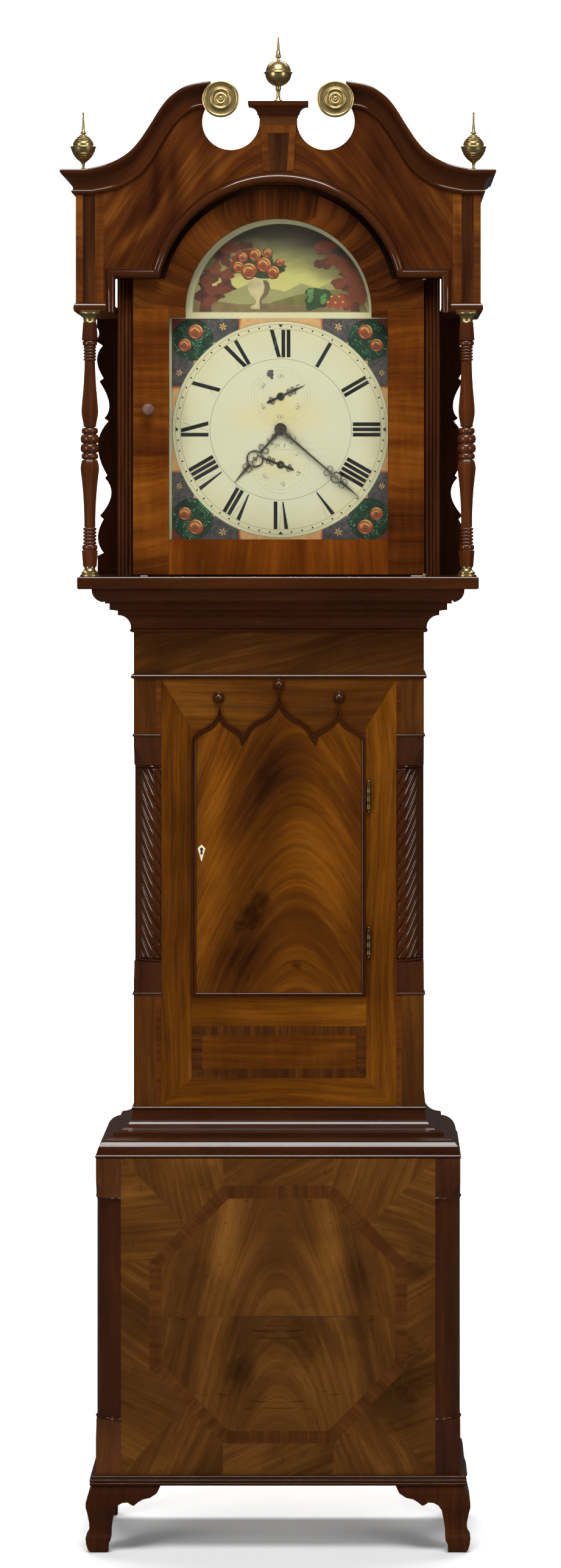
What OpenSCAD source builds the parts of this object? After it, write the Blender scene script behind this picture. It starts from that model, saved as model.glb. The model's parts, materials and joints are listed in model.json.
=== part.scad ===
// Thirty-hour longcase clock: mahogany case, sliding hood, painted dial,
// endless-chain movement. Millimetres. X to the right, Y to the back, Z up.
// The origin is on the floor, at the centre of the clock's footprint box.

/* [Case] */
// Width of the trunk
trunk_w = 467; // [461:1:473]
// Width of the base box
base_w = 582; // [576:1:588]
// Thickness of the case boards
board = 18; // [15:1:20]
// Half width of the trunk door over its lip
door_hw = 140; // [136:1:142]
// Height of the trunk door's bottom edge above the floor
door_z0 = 879; // [872:1:884]

/* [Hood] */
// Half width of the slab under the hood columns
slab_hw = 320; // [316:1:324]
// Half width of the hood's frieze box
frieze_hw = 324; // [321:1:326]
// Half width of the hood door
hdoor_hw = 233; // [231:0.5:233]
// Distance of each column's axis from the centre line
column_x = 301; // [298:1:303]

/* [Dial and movement] */
// Height of the dial's centre above the floor
dial_z = 1792.6; // [1790:0.2:1795]
// Minute hand, centre to tip
minute_len = 169; // [150:1:170]
// Hour hand, centre to tip
hour_len = 114; // [95:1:116]
// Length of the pendulum, suspension to the bob's centre
pendulum_len = 994; // [985:1:1000]
// Radius of the driving weight
weight_r = 33; // [26:1:33]

/* [Hidden] */
$fn = 64;
yt = -72.5;            // front plane of the trunk
yback = 147.5;         // back of the backboard
thw = trunk_w / 2;
bhw = base_w / 2;
bstep = bhw - thw;     // step from the trunk to the base, all round
yb = yt - bstep;       // front plane of the base
yslab = yt - 75;       // front edge of the hood slab
yfr = yt - 45;         // front face of the frieze
ydoor = yt - 33;       // front face of the hood door
ydial = yt - 5;        // front face of the dial
dcx = 3;               // centre line of the dial and the movement
mahogany = [0.36, 0.15, 0.07];
darkwood = [0.25, 0.09, 0.05];
oak = [0.55, 0.38, 0.22];
brass = [0.72, 0.58, 0.28];
steel = [0.42, 0.42, 0.44];
cream = [0.93, 0.88, 0.74];

// ---- helpers -------------------------------------------------------------
function arc(cx, cy, r, a0, a1, n) =
  [for (i = [0:n]) [cx + r * cos(a0 + (a1 - a0) * i / n),
                    cy + r * sin(a0 + (a1 - a0) * i / n)]];
function flip(p) = [for (i = [len(p) - 1:-1:0]) [-p[i][0], p[i][1]]];
// a flat outline in X and Z, standing from y0 to y1
module slab_y(y0, y1) translate([0, y1, 0]) rotate([90, 0, 0])
  linear_extrude(y1 - y0) children();
// a flat outline in Y and Z, running from x0 to x1
module slab_x(x0, x1) translate([x0, 0, 0]) rotate([90, 0, 90])
  linear_extrude(x1 - x0) children();
module box(a, b) translate(a) cube([b[0] - a[0], b[1] - a[1], b[2] - a[2]]);
module both() { children(); mirror([1, 0, 0]) children(); }
module m2(k) { if (k > 0) children(); else mirror([1, 0]) children(); }
// a moulding that runs across the front and back along both sides, mitred:
// p is a list of [projection, height], xs and yf are the planes it stands on
module round_moulding(p, xs, yf, inx, iny) {
  z0 = p[0][1]; z1 = p[len(p) - 1][1];
  difference() {
    intersection() {
      slab_x(-400, 400) polygon(concat([[yback, z0]],
        [for (q = p) [yf - q[0], q[1]]], [[yback, z1]]));
      slab_y(-300, yback) polygon(concat([for (q = p) [xs + q[0], q[1]]],
        flip([for (q = p) [xs + q[0], q[1]]])));
    }
    box([-inx, iny, z0 - 1], [inx, yback + 1, z1 + 1]);
  }
}

// ---- case ----------------------------------------------------------------
module backboard() color(oak) {
  difference() {
    box([-213, yback - 12, 122], [213, yback, 1990]);
    // hole for the screw that holds the clock to the wall
    translate([0, yback + 1, 1950]) rotate([90, 0, 0]) cylinder(r = 3, h = 20);
  }
  both() box([213.2, yback - 12, 122], [bhw - board - 0.2, yback, 626.9]);
}
module base_front_panel() color(mahogany)
  box([-251, yb, 122], [251, yb + board, 627]);
module base_side_panels() color(mahogany) both()
  box([bhw - board, yb + 40, 122], [bhw, yback, 627]);
// square blocks with a hollow stop where a quarter column ends
module stop_block(xc, yc, w, z0, z1, up) {
  // w is the block's width, up says which end carries the hollow
  difference() {
    box([xc, yc - w, z0], [xc + w, yc, z1]);
    translate([xc + w * 1.48, yc - w * 1.48, up == 1 ? z1 : z0])
      sphere(r = w * 0.95);
  }
}
module corner_blocks() color(mahogany) {
  both() {
    stop_block(251, yb + 40, 40, 122, 209, 1);
    stop_block(251, yb + 40, 40, 564, 627, -1);
    box([189, yt, 703], [thw, yt + 44, 882]);
    stop_block(189, yt + 44, thw - 189, 886, 935, 1);
    stop_block(189, yt + 44, thw - 189, 1252, 1298, -1);
    box([189, yt, 1302], [thw, yt + 44, 1466]);
    // thin rings that part the blocks from the stops
    box([189, yt - 1.5, 882], [thw + 1.5, yt + 44, 886]);
    box([189, yt - 1.5, 1298], [thw + 1.5, yt + 44, 1302]);
  }
}
// a quarter of a column, axis at (x, y), outer quarter to the front corner
module quarter(x, y, r, z0, z1) intersection() {
  translate([x, y, z0]) cylinder(r = r, h = z1 - z0);
  box([x, y - r - 1, z0 - 1], [x + r + 1, y, z1 + 1]);
}
module base_quarter_columns() color(mahogany) both() {
  quarter(251, yb + 40, 39, 213, 560);
  quarter(251, yb + 40, 41, 209, 213);
  quarter(251, yb + 40, 41, 560, 564);
}
module plinth_moulding() color(darkwood)
  round_moulding(concat([[0, 106]], arc(7, 108.8, 2.8, -90, 90, 6),
    arc(7.4, 114, 2.4, -90, 90, 6), arc(6, 119.2, 2.8, -90, 90, 6),
    [[0, 122]]), bhw, yb, bhw - 30, yb + 30);
// outline of a bracket foot: distance in from the corner, height
foot_out = [[4.8, 106], [-1.5, 94], [-5.4, 81], [-5.6, 73], [-3, 63],
  [-0.2, 48], [0.2, 38], [-2.1, 30], [-5.6, 24], [-4.7, 14.6], [-1.5, 4],
  [1.8, 0]];
foot_in = [[20.7, 0], [25.2, 4], [31, 14.6], [34.3, 21], [34.7, 35],
  [36.9, 51], [40.1, 68], [45.4, 76], [53.2, 80.3], [61.6, 81],
  [66.8, 77.3], [71.1, 75.7], [77.8, 81], [85.7, 85.5], [97.3, 88],
  [107.7, 94.6], [110.3, 99], [113.6, 106]];
module foot_front() {
  fx = bhw + 10; fy = yb - 10;
  intersection() {
    union() {
      slab_y(fy - 20, fy + 30) polygon([for (q = concat(foot_out, foot_in))
        [fx - q[0], q[1]]]);
      slab_x(fx - 30, fx + 20) polygon([for (q = concat(foot_out, foot_in))
        [fy + q[0], q[1]]]);
    }
    slab_x(fx - 130, fx + 20) polygon(concat([for (q = foot_out)
      [fy + q[0], q[1]]], [[fy + 140, 0], [fy + 140, 106]]));
    slab_y(fy - 20, fy + 130) polygon(concat([for (q = foot_out)
      [fx - q[0], q[1]]], [[fx - 140, 0], [fx - 140, 106]]));
  }
}
module foot_rear() {
  fx = bhw + 10; fy = yback - 5.5;
  intersection() {
    slab_x(fx - 30, fx + 20) polygon([for (q = concat(foot_out, foot_in))
      [fy - q[0], q[1]]]);
    slab_y(fy - 140, fy + 20) polygon(concat([for (q = foot_out)
      [fx - q[0], q[1]]], [[fx - 30, 0], [fx - 30, 106]]));
  }
}
module bracket_feet() color(darkwood) both() { foot_front(); foot_rear(); }
module waist_moulding() color(darkwood)
  round_moulding(concat([[bstep + 0.4, 627]],
    arc(bstep - 1.4, 629.8, 2.7, -80, 80, 6), [[bstep - 1, 634]],
    arc(bstep - 26.5, 634, 25, 0, 90, 10), [[31, 659], [31, 665], [28, 666]],
    arc(28, 692, 26, -90, -162, 10), [[2, 692], [2, 697]],
    arc(0.6, 700, 2.6, -80, 80, 6), [[0, 703]]), thw, yt, thw - board, yt + 18);

// ---- trunk ---------------------------------------------------------------
// right half of the trunk door's top: a shoulder, an ogee point, a notch
// and half of the middle point
ogee = [[140, 1290], [139.6, 1295], [137, 1300.5], [131, 1305.9],
  [119.5, 1312], [108, 1319.7], [99.8, 1331.3], [95, 1346], [90.5, 1331.3],
  [83.7, 1320.6], [73.6, 1313.8], [64.4, 1309], [58.8, 1304], [57, 1300],
  [54.4, 1304], [47.6, 1314.4], [37, 1323], [21.6, 1331.3], [11, 1342],
  [4.4, 1355.8], [0, 1369]];
// inward normal of the line from a to b
function normal(a, b) = [a[1] - b[1], b[0] - a[0]] / norm(b - a);
// the same outline with g taken off all round
function ogee_top(g) = [for (i = [0:len(ogee) - 1])
  let (p = ogee[i], q = i == 0 ? [140, 1200] : ogee[i - 1],
    r = i == len(ogee) - 1 ? [-ogee[i - 1][0], ogee[i - 1][1]] : ogee[i + 1],
    m = normal(q, p), n = normal(p, r))
  p + (m + n) * g / (1 + m * n)];
module door_outline(g) {
  r = ogee_top(g);
  polygon(concat([[-door_hw + g, door_z0 + g], [door_hw - g, door_z0 + g]],
    r, flip([for (i = [0:len(r) - 2]) r[i]])));
}
hinge_x = door_hw + 4.5;
hinge_y = yt - 4.5;
hinge_z = [[947, 986], [1181, 1222]];
module trunk_front_frame() color(mahogany) difference() {
  box([-189, yt, 703], [189, yt + 20, 1466]);
  // plain opening behind the shaped door, wider on the lock side so that
  // the back corner of the door swings clear
  box([-door_hw + 4.4, yt - 1, door_z0 + 5.4], [door_hw - 5.4, yt + 21, 1289.6]);
  // mortises for the fixed hinge leaves and for the bolt
  for (h = hinge_z) box([hinge_x - 0.8, yt - 1, h[0]],
    [hinge_x + 0.8, yt + 14, h[1]]);
  box([-151, yt + 9, 1103], [-125, yt + 14, 1121]);
}
module trunk_side_panels() color(mahogany) both()
  box([thw - board, yt + 44, 703], [thw, yback, 1466]);
rope_r = 42;
module trunk_quarter_columns() color(darkwood) both() {
  quarter(189, yt + 44, rope_r, 939, 1248);
  quarter(189, yt + 44, rope_r + 2, 935, 939);
  quarter(189, yt + 44, rope_r + 2, 1248, 1252);
}
module trunk_trim() color(darkwood) {
  // astragal across the front and sides
  difference() {
    round_moulding(concat([[0, 1391]], arc(1.2, 1395, 3.6, -80, 80, 8),
      [[0, 1399]]), thw, yt, thw, yt);
    box([-thw, yt, 1300], [thw, yback + 1, 1500]);
  }
  // turned bosses over the door's points
  for (p = [[-97, 1361], [0, 1382], [97, 1361]])
    translate([p[0], yt, p[1]]) rotate([90, 0, 0]) rotate_extrude()
      polygon(concat([[0, 0], [9.8, 0], [9.8, 2.5]], arc(0, 2.5, 8, 10, 88, 8),
        [[0, 10.5]]));
}
module throat_moulding() color(darkwood)
  round_moulding(concat([[0, 1466], [3, 1466]],
    arc(3.4, 1469.5, 2.8, -80, 80, 6), [[4.5, 1473]],
    arc(24.5, 1474, 20, 180, 90, 8), [[24.5, 1501], [37, 1503], [37, 1513],
    [44, 1513], [44, 1519]], arc(44, 1535, 20, -80, 0, 8), [[64, 1536]]),
    thw, yt, thw - board, yt + 26);
module seat_board() color(oak) {
  difference() {
    box([-196, yt + 24, 1686.3], [196, 96, 1702.3]);
    box([dcx - 62, -8, 1680], [dcx + 58, 70, 1710]);
  }
  both() box([198, yt + 30, 1466], [213, 96, 1686]);
  both() box([180, yt + 40, 1672], [198, 90, 1686.3]);
}
// butt hinges: the end knuckles and the pin stay with the case
module knuckle(z0, z1) translate([hinge_x, hinge_y, z0]) difference() {
  cylinder(r = 3.4, h = z1 - z0);
  translate([0, 0, -1]) cylinder(r = 1.55, h = z1 - z0 + 2);
}
module trunk_hinges() color(brass) for (h = hinge_z) {
  t = (h[1] - h[0]) / 3;
  for (k = [0, 2]) {
    knuckle(h[0] + k * t, h[0] + (k + 1) * t - 0.4);
    difference() {
      box([hinge_x - 0.8, hinge_y, h[0] + k * t],
        [hinge_x + 0.8, yt + 14, h[0] + (k + 1) * t - 0.4]);
      translate([hinge_x, hinge_y, 900]) cylinder(r = 3.0, h = 400);
    }
  }
  translate([hinge_x, hinge_y, h[0] - 1]) cylinder(r = 1.5, h = h[1] - h[0] + 2);
}
module trunk_door() color(mahogany) difference() {
  union() {
    box([-door_hw + 6.1, yt - 4, door_z0 + 6], [door_hw - 6, yt + 20, 1289]);
    slab_y(yt - 5, yt - 0.6) door_outline(4);
  }
  for (h = hinge_z) box([door_hw - 14, hinge_y - 0.8, h[0] + 1],
    [door_hw + 1, hinge_y + 0.8, h[1] - 1]);
  box([-136, yt + 8.6, 1090], [-100, yt + 21, 1134]);
}
module trunk_door_moulding() color(darkwood) difference() {
  slab_y(yt - 9, yt - 0.6) door_outline(0);
  slab_y(yt - 10, yt) door_outline(4);
  for (h = hinge_z) box([door_hw - 14, hinge_y - 0.8, h[0] + 1],
    [door_hw + 1, hinge_y + 0.8, h[1] - 1]);
}
module door_fittings() color(brass) {
  for (h = hinge_z) {
    t = (h[1] - h[0]) / 3;
    knuckle(h[0] + t, h[0] + 2 * t - 0.4);
    difference() {
      box([door_hw - 13.6, hinge_y - 0.8, h[0] + t],
        [hinge_x, hinge_y + 0.8, h[0] + 2 * t - 0.4]);
      translate([hinge_x, hinge_y, 900]) cylinder(r = 3.0, h = 400);
    }
  }
  // lock case, let into the back of the door
  difference() {
    box([-133.5, yt + 8.6, 1090.5], [-100.5, yt + 20, 1133.5]);
    box([-140, yt + 9.4, 1103.5], [-104, yt + 13.6, 1120.5]);
  }
}
module escutcheon() color([0.88, 0.82, 0.68]) slab_y(yt - 6, yt - 5)
  difference() {
    polygon([[-125, 1098], [-119.2, 1113], [-125, 1125.2], [-130.8, 1113]]);
    translate([-125, 1114]) circle(r = 1.9);
    polygon([[-126, 1105], [-124, 1105], [-124.2, 1114], [-125.8, 1114]]);
  }
module lock_bolt() color(steel)
  box([-133.4, yt + 9.6, 1104], [-106, yt + 13.4, 1120]);

// ---- hood ----------------------------------------------------------------
module hood_slab() color(mahogany) difference() {
  round_moulding(concat([[slab_hw - thw - 3, 1536.4]],
    arc(slab_hw - thw - 3, 1539.4, 3, -90, 0, 4),
    arc(slab_hw - thw - 3, 1553.7, 3, 0, 90, 4)), thw, yslab + slab_hw - thw,
    234, yt - 4);
  // socket of the hood door's lower pivot
  translate([hdoor_hw + 0.5, ydoor, 1549]) cylinder(r = 2.05, h = 9);
}
module hood_carcass() color(mahogany) {
  both() box([246, yt - 7, 1556.7], [259, 140, 2183.9]);
  box([-308, yfr + 16, 2184], [308, 140, 2194]);
}
module hood_pilasters() color(darkwood) both() {
  box([234.3, yt - 15, 1556.7], [259, yt - 7, 2034]);
  for (i = [0:3]) translate([237.6 + i * 6.2, yt - 15, 1556.7])
    cylinder(r = 2.9, h = 477.3);
}
function bow(a, b, c, n) = [for (i = [0:n]) let (t = i / n,
  k = 2 * b - (a + c) / 2) (1 - t) * (1 - t) * a + 2 * t * (1 - t) * k
  + t * t * c];
module hood_wings() color(darkwood) both() slab_y(117, 127)
  polygon(concat([[259.1, 1556.7], [259.1, 1978.8], [304.5, 1978.8]],
    bow([304.5, 1965], [301, 1954], [307, 1943], 5),
    bow([295, 1935], [304.5, 1911], [293.5, 1881], 9),
    bow([300.5, 1876], [284.5, 1840], [292.5, 1815], 9),
    bow([285.5, 1810], [303, 1770], [287.5, 1720.5], 11),
    bow([291.5, 1716.5], [281, 1688], [299.5, 1654], 9),
    bow([293.5, 1648], [303, 1618], [293.5, 1592.5], 9),
    [[303.5, 1587.5], [303.5, 1556.7]]));
// swan necks: stations along the upper and the lower edge, right side
neck_top = [[348, 2207], [308, 2207], [270, 2216], [242, 2231], [223, 2250],
  [204, 2278], [185, 2308], [167, 2327], [143, 2341], [112, 2347]];
neck_low = [[325, 2167], [297, 2167], [256, 2176], [226, 2193], [206, 2214],
  [188, 2243], [169, 2273], [149, 2293], [132, 2303], [112, 2306]];
function lane(f, x0) = [for (i = [0:9]) i == 0
  ? [x0, neck_top[0][1] * (1 - f) + neck_low[0][1] * f]
  : neck_top[i] * (1 - f) + neck_low[i] * f];
function rev(p) = [for (i = [len(p) - 1:-1:0]) p[i]];
cut_c = [76, 2285];    // centre of each round cut-out beside the pedestal
ros_c = [91.3, 2318.4]; // centre of each brass roundel
frieze_half = concat([[frieze_hw, 1979], [frieze_hw, 2207]],
  [for (i = [1:9]) lane(0.1, 0)[i]], [[92, 2342], [78, 2333], [31, 2292]]);
module frieze_outline() difference() {
  polygon(concat(frieze_half, flip(frieze_half)));
  translate([0, 1993]) circle(r = 194, $fn = 128);
  translate([-262, 1900]) square([524, 135]);
  for (s = [1, -1]) translate([s * cut_c[0], cut_c[1]]) circle(r = 46);
}
module hood_frieze() color(mahogany) difference() {
  slab_y(yfr, yfr + 16) frieze_outline();
  // socket for the upper pivot of the hood door
  translate([hdoor_hw + 0.5, ydoor, 2030]) cylinder(r = 2.05, h = 16);
}
module hood_side_friezes() color(mahogany) both() {
  box([308, yfr + 16, 1979], [frieze_hw, 140, 2207]);
  box([262, yfr + 16, 1979], [308, 140, 1990]);
}
module hood_mask() color(oak) slab_y(ydoor + 21, ydoor + 25) {
  // two uprights, a bottom rail and a shaped top board
  for (s = [-1, 1]) translate([s > 0 ? 177 : -233.8, 1557.5]) square([56.8, 415.4]);
  translate([-176.9, 1557.5]) square([353.8, 54.5]);
  difference() {
    union() {
    translate([-233.8, 1973]) square([467.6, 60]);
    translate([-266, 2034.2]) square([532, 30]);
    intersection() {
      translate([0, 1993]) circle(r = 206, $fn = 128);
      translate([-266, 2034.2]) square([532, 149.7]);
    }
    translate([0, 1992]) circle(r = 186, $fn = 128);
    }
    translate([-300, 1700]) square([600, 273]);
    translate([0, 1981]) circle(r = 151.5, $fn = 128);
  }
}
// the raised bead round the arch: g is how much narrower a layer is each side
function arch_half(x, z, r) = concat([[x, 1979], [x, z]],
  arc(0, 1993, r, asin((z - 1993) / r), 90, 24));
module arch_2d(g) {
  o = arch_half(275 - g, 2048 - g, 211 - g);
  n = arch_half(262 + g, 2035 + g, 194 + g);
  polygon(concat(o, [for (i = [1:len(o) - 1]) flip(o)[i]],
    [for (i = [0:len(n) - 1]) [-n[i][0], n[i][1]]],
    [for (i = [1:len(n) - 1]) rev(n)[i]]));
}
module arch_bead() color(darkwood) {
  slab_y(yfr - 4, yfr) arch_2d(0);
  slab_y(yfr - 7, yfr - 4.05) arch_2d(3.5);
  // half-round moulding under the frieze, over each column
  both() difference() {
    intersection() {
      slab_x(275.2, frieze_hw + 10) polygon(concat([[140, 1979.1]],
        [for (q = arc(0, 1986.5, 7.4, -90, 90, 8)) [yfr - q[0] * 0.5, q[1]]],
        [[140, 1993.9]]));
      slab_y(yfr - 10, 140) polygon(concat([[250, 1979.1]],
        [for (q = arc(0, 1986.5, 7.4, -90, 90, 8)) [frieze_hw + q[0] * 0.5,
        q[1]]], [[250, 1993.9]]));
    }
    box([200, yfr, 1970], [frieze_hw, 200, 2000]);
  }
}
// the cornice's profile as five steps: fraction down from the top, projection
steps = [[0, 0.24, 24], [0.24, 0.32, 20], [0.32, 0.55, 16], [0.55, 0.78, 9],
  [0.78, 1, 4]];
module cornice_moulding() color(darkwood) both() {
  for (s = steps) {
    slab_y(yfr - s[2], yfr) polygon(concat(lane(s[0], frieze_hw + s[2]),
      rev(lane(s[1], frieze_hw + s[2]))));
    box([frieze_hw, yfr, 2207 - 40 * s[1]],
      [frieze_hw + s[2], 140, 2207 - 40 * s[0]]);
  }
  translate([ros_c[0], yfr, ros_c[1]]) rotate([90, 0, 0])
    cylinder(r = 26, h = 24);
}
module pedestal() color(darkwood) {
  p = concat([[1.7, 2292], [1.7, 2296]], arc(15.7, 2296, 12, 180, 90, 6),
    [[17, 2308], [18.2, 2310], [18.2, 2316]]);
  intersection() {
    slab_x(-60, 60) polygon(concat([[yfr + 20, 2292]],
      [for (q = p) [yfr - q[0], q[1]]], [[yfr + 20, 2316]]));
    slab_y(yfr - 30, yfr + 20) polygon(concat([for (q = p) [30 + q[0], q[1]]],
      flip([for (q = p) [30 + q[0], q[1]]])));
  }
  slab_y(yfr - 1.7, yfr) polygon([[-24.5, 2205], [24.5, 2205], [29, 2292],
    [-29, 2292]]);
}
module brass_roundels() color(brass) for (s = [-1, 1])
  translate([s * ros_c[0], yfr - 24, ros_c[1]]) rotate([90, 0, 0])
  rotate_extrude($fn = 96) polygon(concat([[0, 0], [28.5, 0], [29.7, 0.8],
    [29.2, 2.2], [26.5, 3], [24, 2.2], [23, 1.2], [18.5, 1.2]],
    arc(15, 1.4, 2.9, 0, 180, 8), [[11.4, 1.4], [10.8, 3], [8, 4], [4.2, 4.2]],
    arc(0, 2.9, 2.9, 30, 88, 5), [[0, 5.8]]));
module finial(r) rotate_extrude($fn = 72) polygon(concat(
  [[0, 0], [r * 0.62, 0], [r * 0.64, r * 0.1], [r * 0.5, r * 0.22],
   [r * 0.26, r * 0.36], [r * 0.22, r * 0.55], [r * 0.34, r * 0.72],
   [r * 0.36, r * 0.8]],
  arc(0, r * 1.85, r, -68, -7, 8),
  [[r * 1.09, r * 1.77], [r * 1.12, r * 1.85], [r * 1.09, r * 1.93]],
  arc(0, r * 1.85, r, 7, 72, 8),
  [[r * 0.2, r * 2.9], [r * 0.2, r * 3.05], [r * 0.33, r * 3.12],
   [r * 0.33, r * 3.22], [r * 0.2, r * 3.34], [r * 0.12, r * 3.7],
   [r * 0.06, r * 4.3], [r * 0.03, r * 4.9], [0, r * 4.96]]));
module brass_finials() color(brass) {
  translate([0, yfr, 2316]) finial(21.2);
  both() translate([312.5, yfr + 11, 2207]) finial(19.3);
}
// n half-round rings, going up from z0 to z1
function rings(n, z0, z1, ri, ro) = [for (k = [0:n - 1], j = [0:6])
  [ri + (ro - ri) * sin(180 * j / 6), z0 + (z1 - z0) * (k + j / 6) / n]];
module hood_columns() color(darkwood) both()
  translate([column_x, yt - 50, 0]) rotate_extrude($fn = 48) polygon(concat(
    [[0, 1572.2], [10.7, 1572.2], [12.6, 1598]],
    rings(1, 1599, 1607.5, 10.4, 12.2), rings(5, 1609, 1635, 9.2, 10.7),
    [[8.8, 1636], [8.8, 1651], [9.6, 1672], [11.3, 1698], [14, 1722],
     [14.6, 1730], [13.4, 1738], [11.7, 1743]],
    rings(4, 1744, 1794, 12, 14.9),
    [[9.7, 1796], [10.4, 1802], [12.4, 1811], [13.1, 1820], [12.2, 1834],
     [10.2, 1858], [8.8, 1880], [8.3, 1901]],
    rings(5, 1902, 1925.5, 8.8, 10.2), rings(1, 1925.5, 1933.5, 10.2, 11.7),
    [[12.6, 1934.5], [10.7, 1961.6], [0, 1961.6]]));
module column_brasses() color(brass) both()
  translate([column_x, yt - 50, 0]) {
    rotate_extrude($fn = 48) polygon([[0, 1556.8], [15, 1556.8],
      [15.2, 1559.6], [13, 1561], [13.4, 1563], [11, 1565.4], [8.6, 1568],
      [8.4, 1572], [0, 1572]]);
    rotate_extrude($fn = 48) polygon([[0, 1961.8], [10.2, 1961.8],
      [10.4, 1964], [11.2, 1969], [12.4, 1974.4], [16.8, 1975.2],
      [16.8, 1978.8], [0, 1978.8]]);
  }
module door_opening(g) {
  translate([-175.3 - g, 1615.7 - g]) square([350.6 + 2 * g, 355.7 + 2 * g]);
  translate([0, 1980.9]) circle(r = 149 + g, $fn = 128);
}
module hood_door_frame() color(mahogany) difference() {
  slab_y(ydoor, ydoor + 20) {
    translate([-hdoor_hw, 1559.4]) square([2 * hdoor_hw, 473.6]);
    translate([0, 1992]) circle(r = 186, $fn = 128);
  }
  slab_y(ydoor - 1, ydoor + 21) door_opening(0);
  slab_y(ydoor + 10, ydoor + 21) door_opening(5.5);
  // seats of the pivot plates
  for (z = [1559.3, 2031.5]) {
    box([205, ydoor + 3, z], [hdoor_hw + 1, ydoor + 15, z + 1.6]);
    pivot_ear(0.15, z, 1.6);
  }
}
module pivot_ear(g, z, h) hull() {
  translate([hdoor_hw + 0.5, ydoor, z]) cylinder(r = 3.6 + g, h = h, $fn = 32);
  translate([hdoor_hw - 3, ydoor + 6, z]) cylinder(r = 2.6 + g, h = h, $fn = 32);
}
module hood_door_glass() color([0.8, 0.85, 0.85, 0.3])
  slab_y(ydoor + 10.1, ydoor + 12.1) door_opening(5);
module hood_door_knob() color(darkwood) translate([-208, ydoor, 1824])
  rotate([90, 0, 0]) rotate_extrude() polygon(concat([[0, 0], [7.5, 0],
    [7.5, 1.5], [4.2, 3], [3.9, 7]], arc(0, 13.5, 10, -48, 70, 10),
    [[0, 23.2]]));
module hood_door_pivots() color(brass) for (k = [0, 1]) {
  z = k == 0 ? 1559.4 : 2031.5;
  box([205.2, ydoor + 3.2, z], [hdoor_hw, ydoor + 14.8, z + 1.4]);
  pivot_ear(0, z, 1.4);
  translate([hdoor_hw + 0.5, ydoor, k == 0 ? 1550 : z]) cylinder(r = 2,
    h = k == 0 ? 10 : 10);
}

// ---- dial and movement ---------------------------------------------------
module mv() translate([dcx, 0, dial_z]) children();
// arbor positions, seen from the front, from the dial's centre
P_sec = [0, 53];       // escape wheel and seconds hand
P_date = [0, -57];     // date hand
P_great = [28, -22];   // going great wheel
P_strike = [-36, -22]; // strike great wheel
P_anchor = [0, 81];
// the point at r1 from a and r2 from b, on the side that s picks
function meet(a, r1, b, r2, s) = let (d = norm(b - a), u = (b - a) / d,
  k = (r1 * r1 - r2 * r2 + d * d) / (2 * d), h = sqrt(r1 * r1 - k * k))
  a + u * k + s * h * [-u[1], u[0]];
P_second = meet(P_sec, 28, P_great, 52.8, 1);
P_minute = meet([0, 0], 25.2, P_great, 25.2, 1);
P_pin = P_strike + 48 * [cos(80), sin(80)];
P_warn = P_pin + 28 * [cos(100), sin(100)];
P_fly = P_warn + 21.6 * [cos(150), sin(150)];
function dir(a, b) = atan2(b[1] - a[1], b[0] - a[0]);
// phase of wheel b so that it meshes with wheel a
function mesh(ra, phi, na, nb) = phi + 180 - (ra - phi) * na / nb + 180 / nb;
module gear(z, m, rot) {
  rp = z * m / 2; p = 360 / z;
  polygon([for (i = [0:z - 1], q = [[-0.33, -1.25], [-0.12, 0.85],
    [0.12, 0.85], [0.33, -1.25]]) let (a = rot + p * (i + q[0]),
    r = rp + q[1] * m) [r * cos(a), r * sin(a)]]);
}
module rod(p, r, y0, y1) translate([p[0], y1, p[1]]) rotate([90, 0, 0])
  cylinder(r = r, h = y1 - y0);
module wheel(p, z, m, rot, y0, y1, spokes) translate([p[0], 0, p[1]])
  slab_y(y0, y1) difference() {
    gear(z, m, rot);
    if (spokes > 0) difference() {
      circle(r = z * m / 2 - 1.25 * m - 3);
      circle(r = 6);
      for (i = [0:spokes - 1]) rotate(360 * i / spokes) translate([0, -1.5])
        square([z * m, 3]);
    }
  }
module dial_plate() color(cream) difference() {
  slab_y(ydial, ydial + 1.5) {
    translate([-179, 1611]) square([364, 362]);
    translate([dcx, 1981]) circle(r = 154, $fn = 128);
  }
  mv() {
    rod([0, 0], 6, -90, -60); rod(P_sec, 3.2, -90, -60);
    rod(P_date, 3.2, -90, -60);
  }
}
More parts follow.
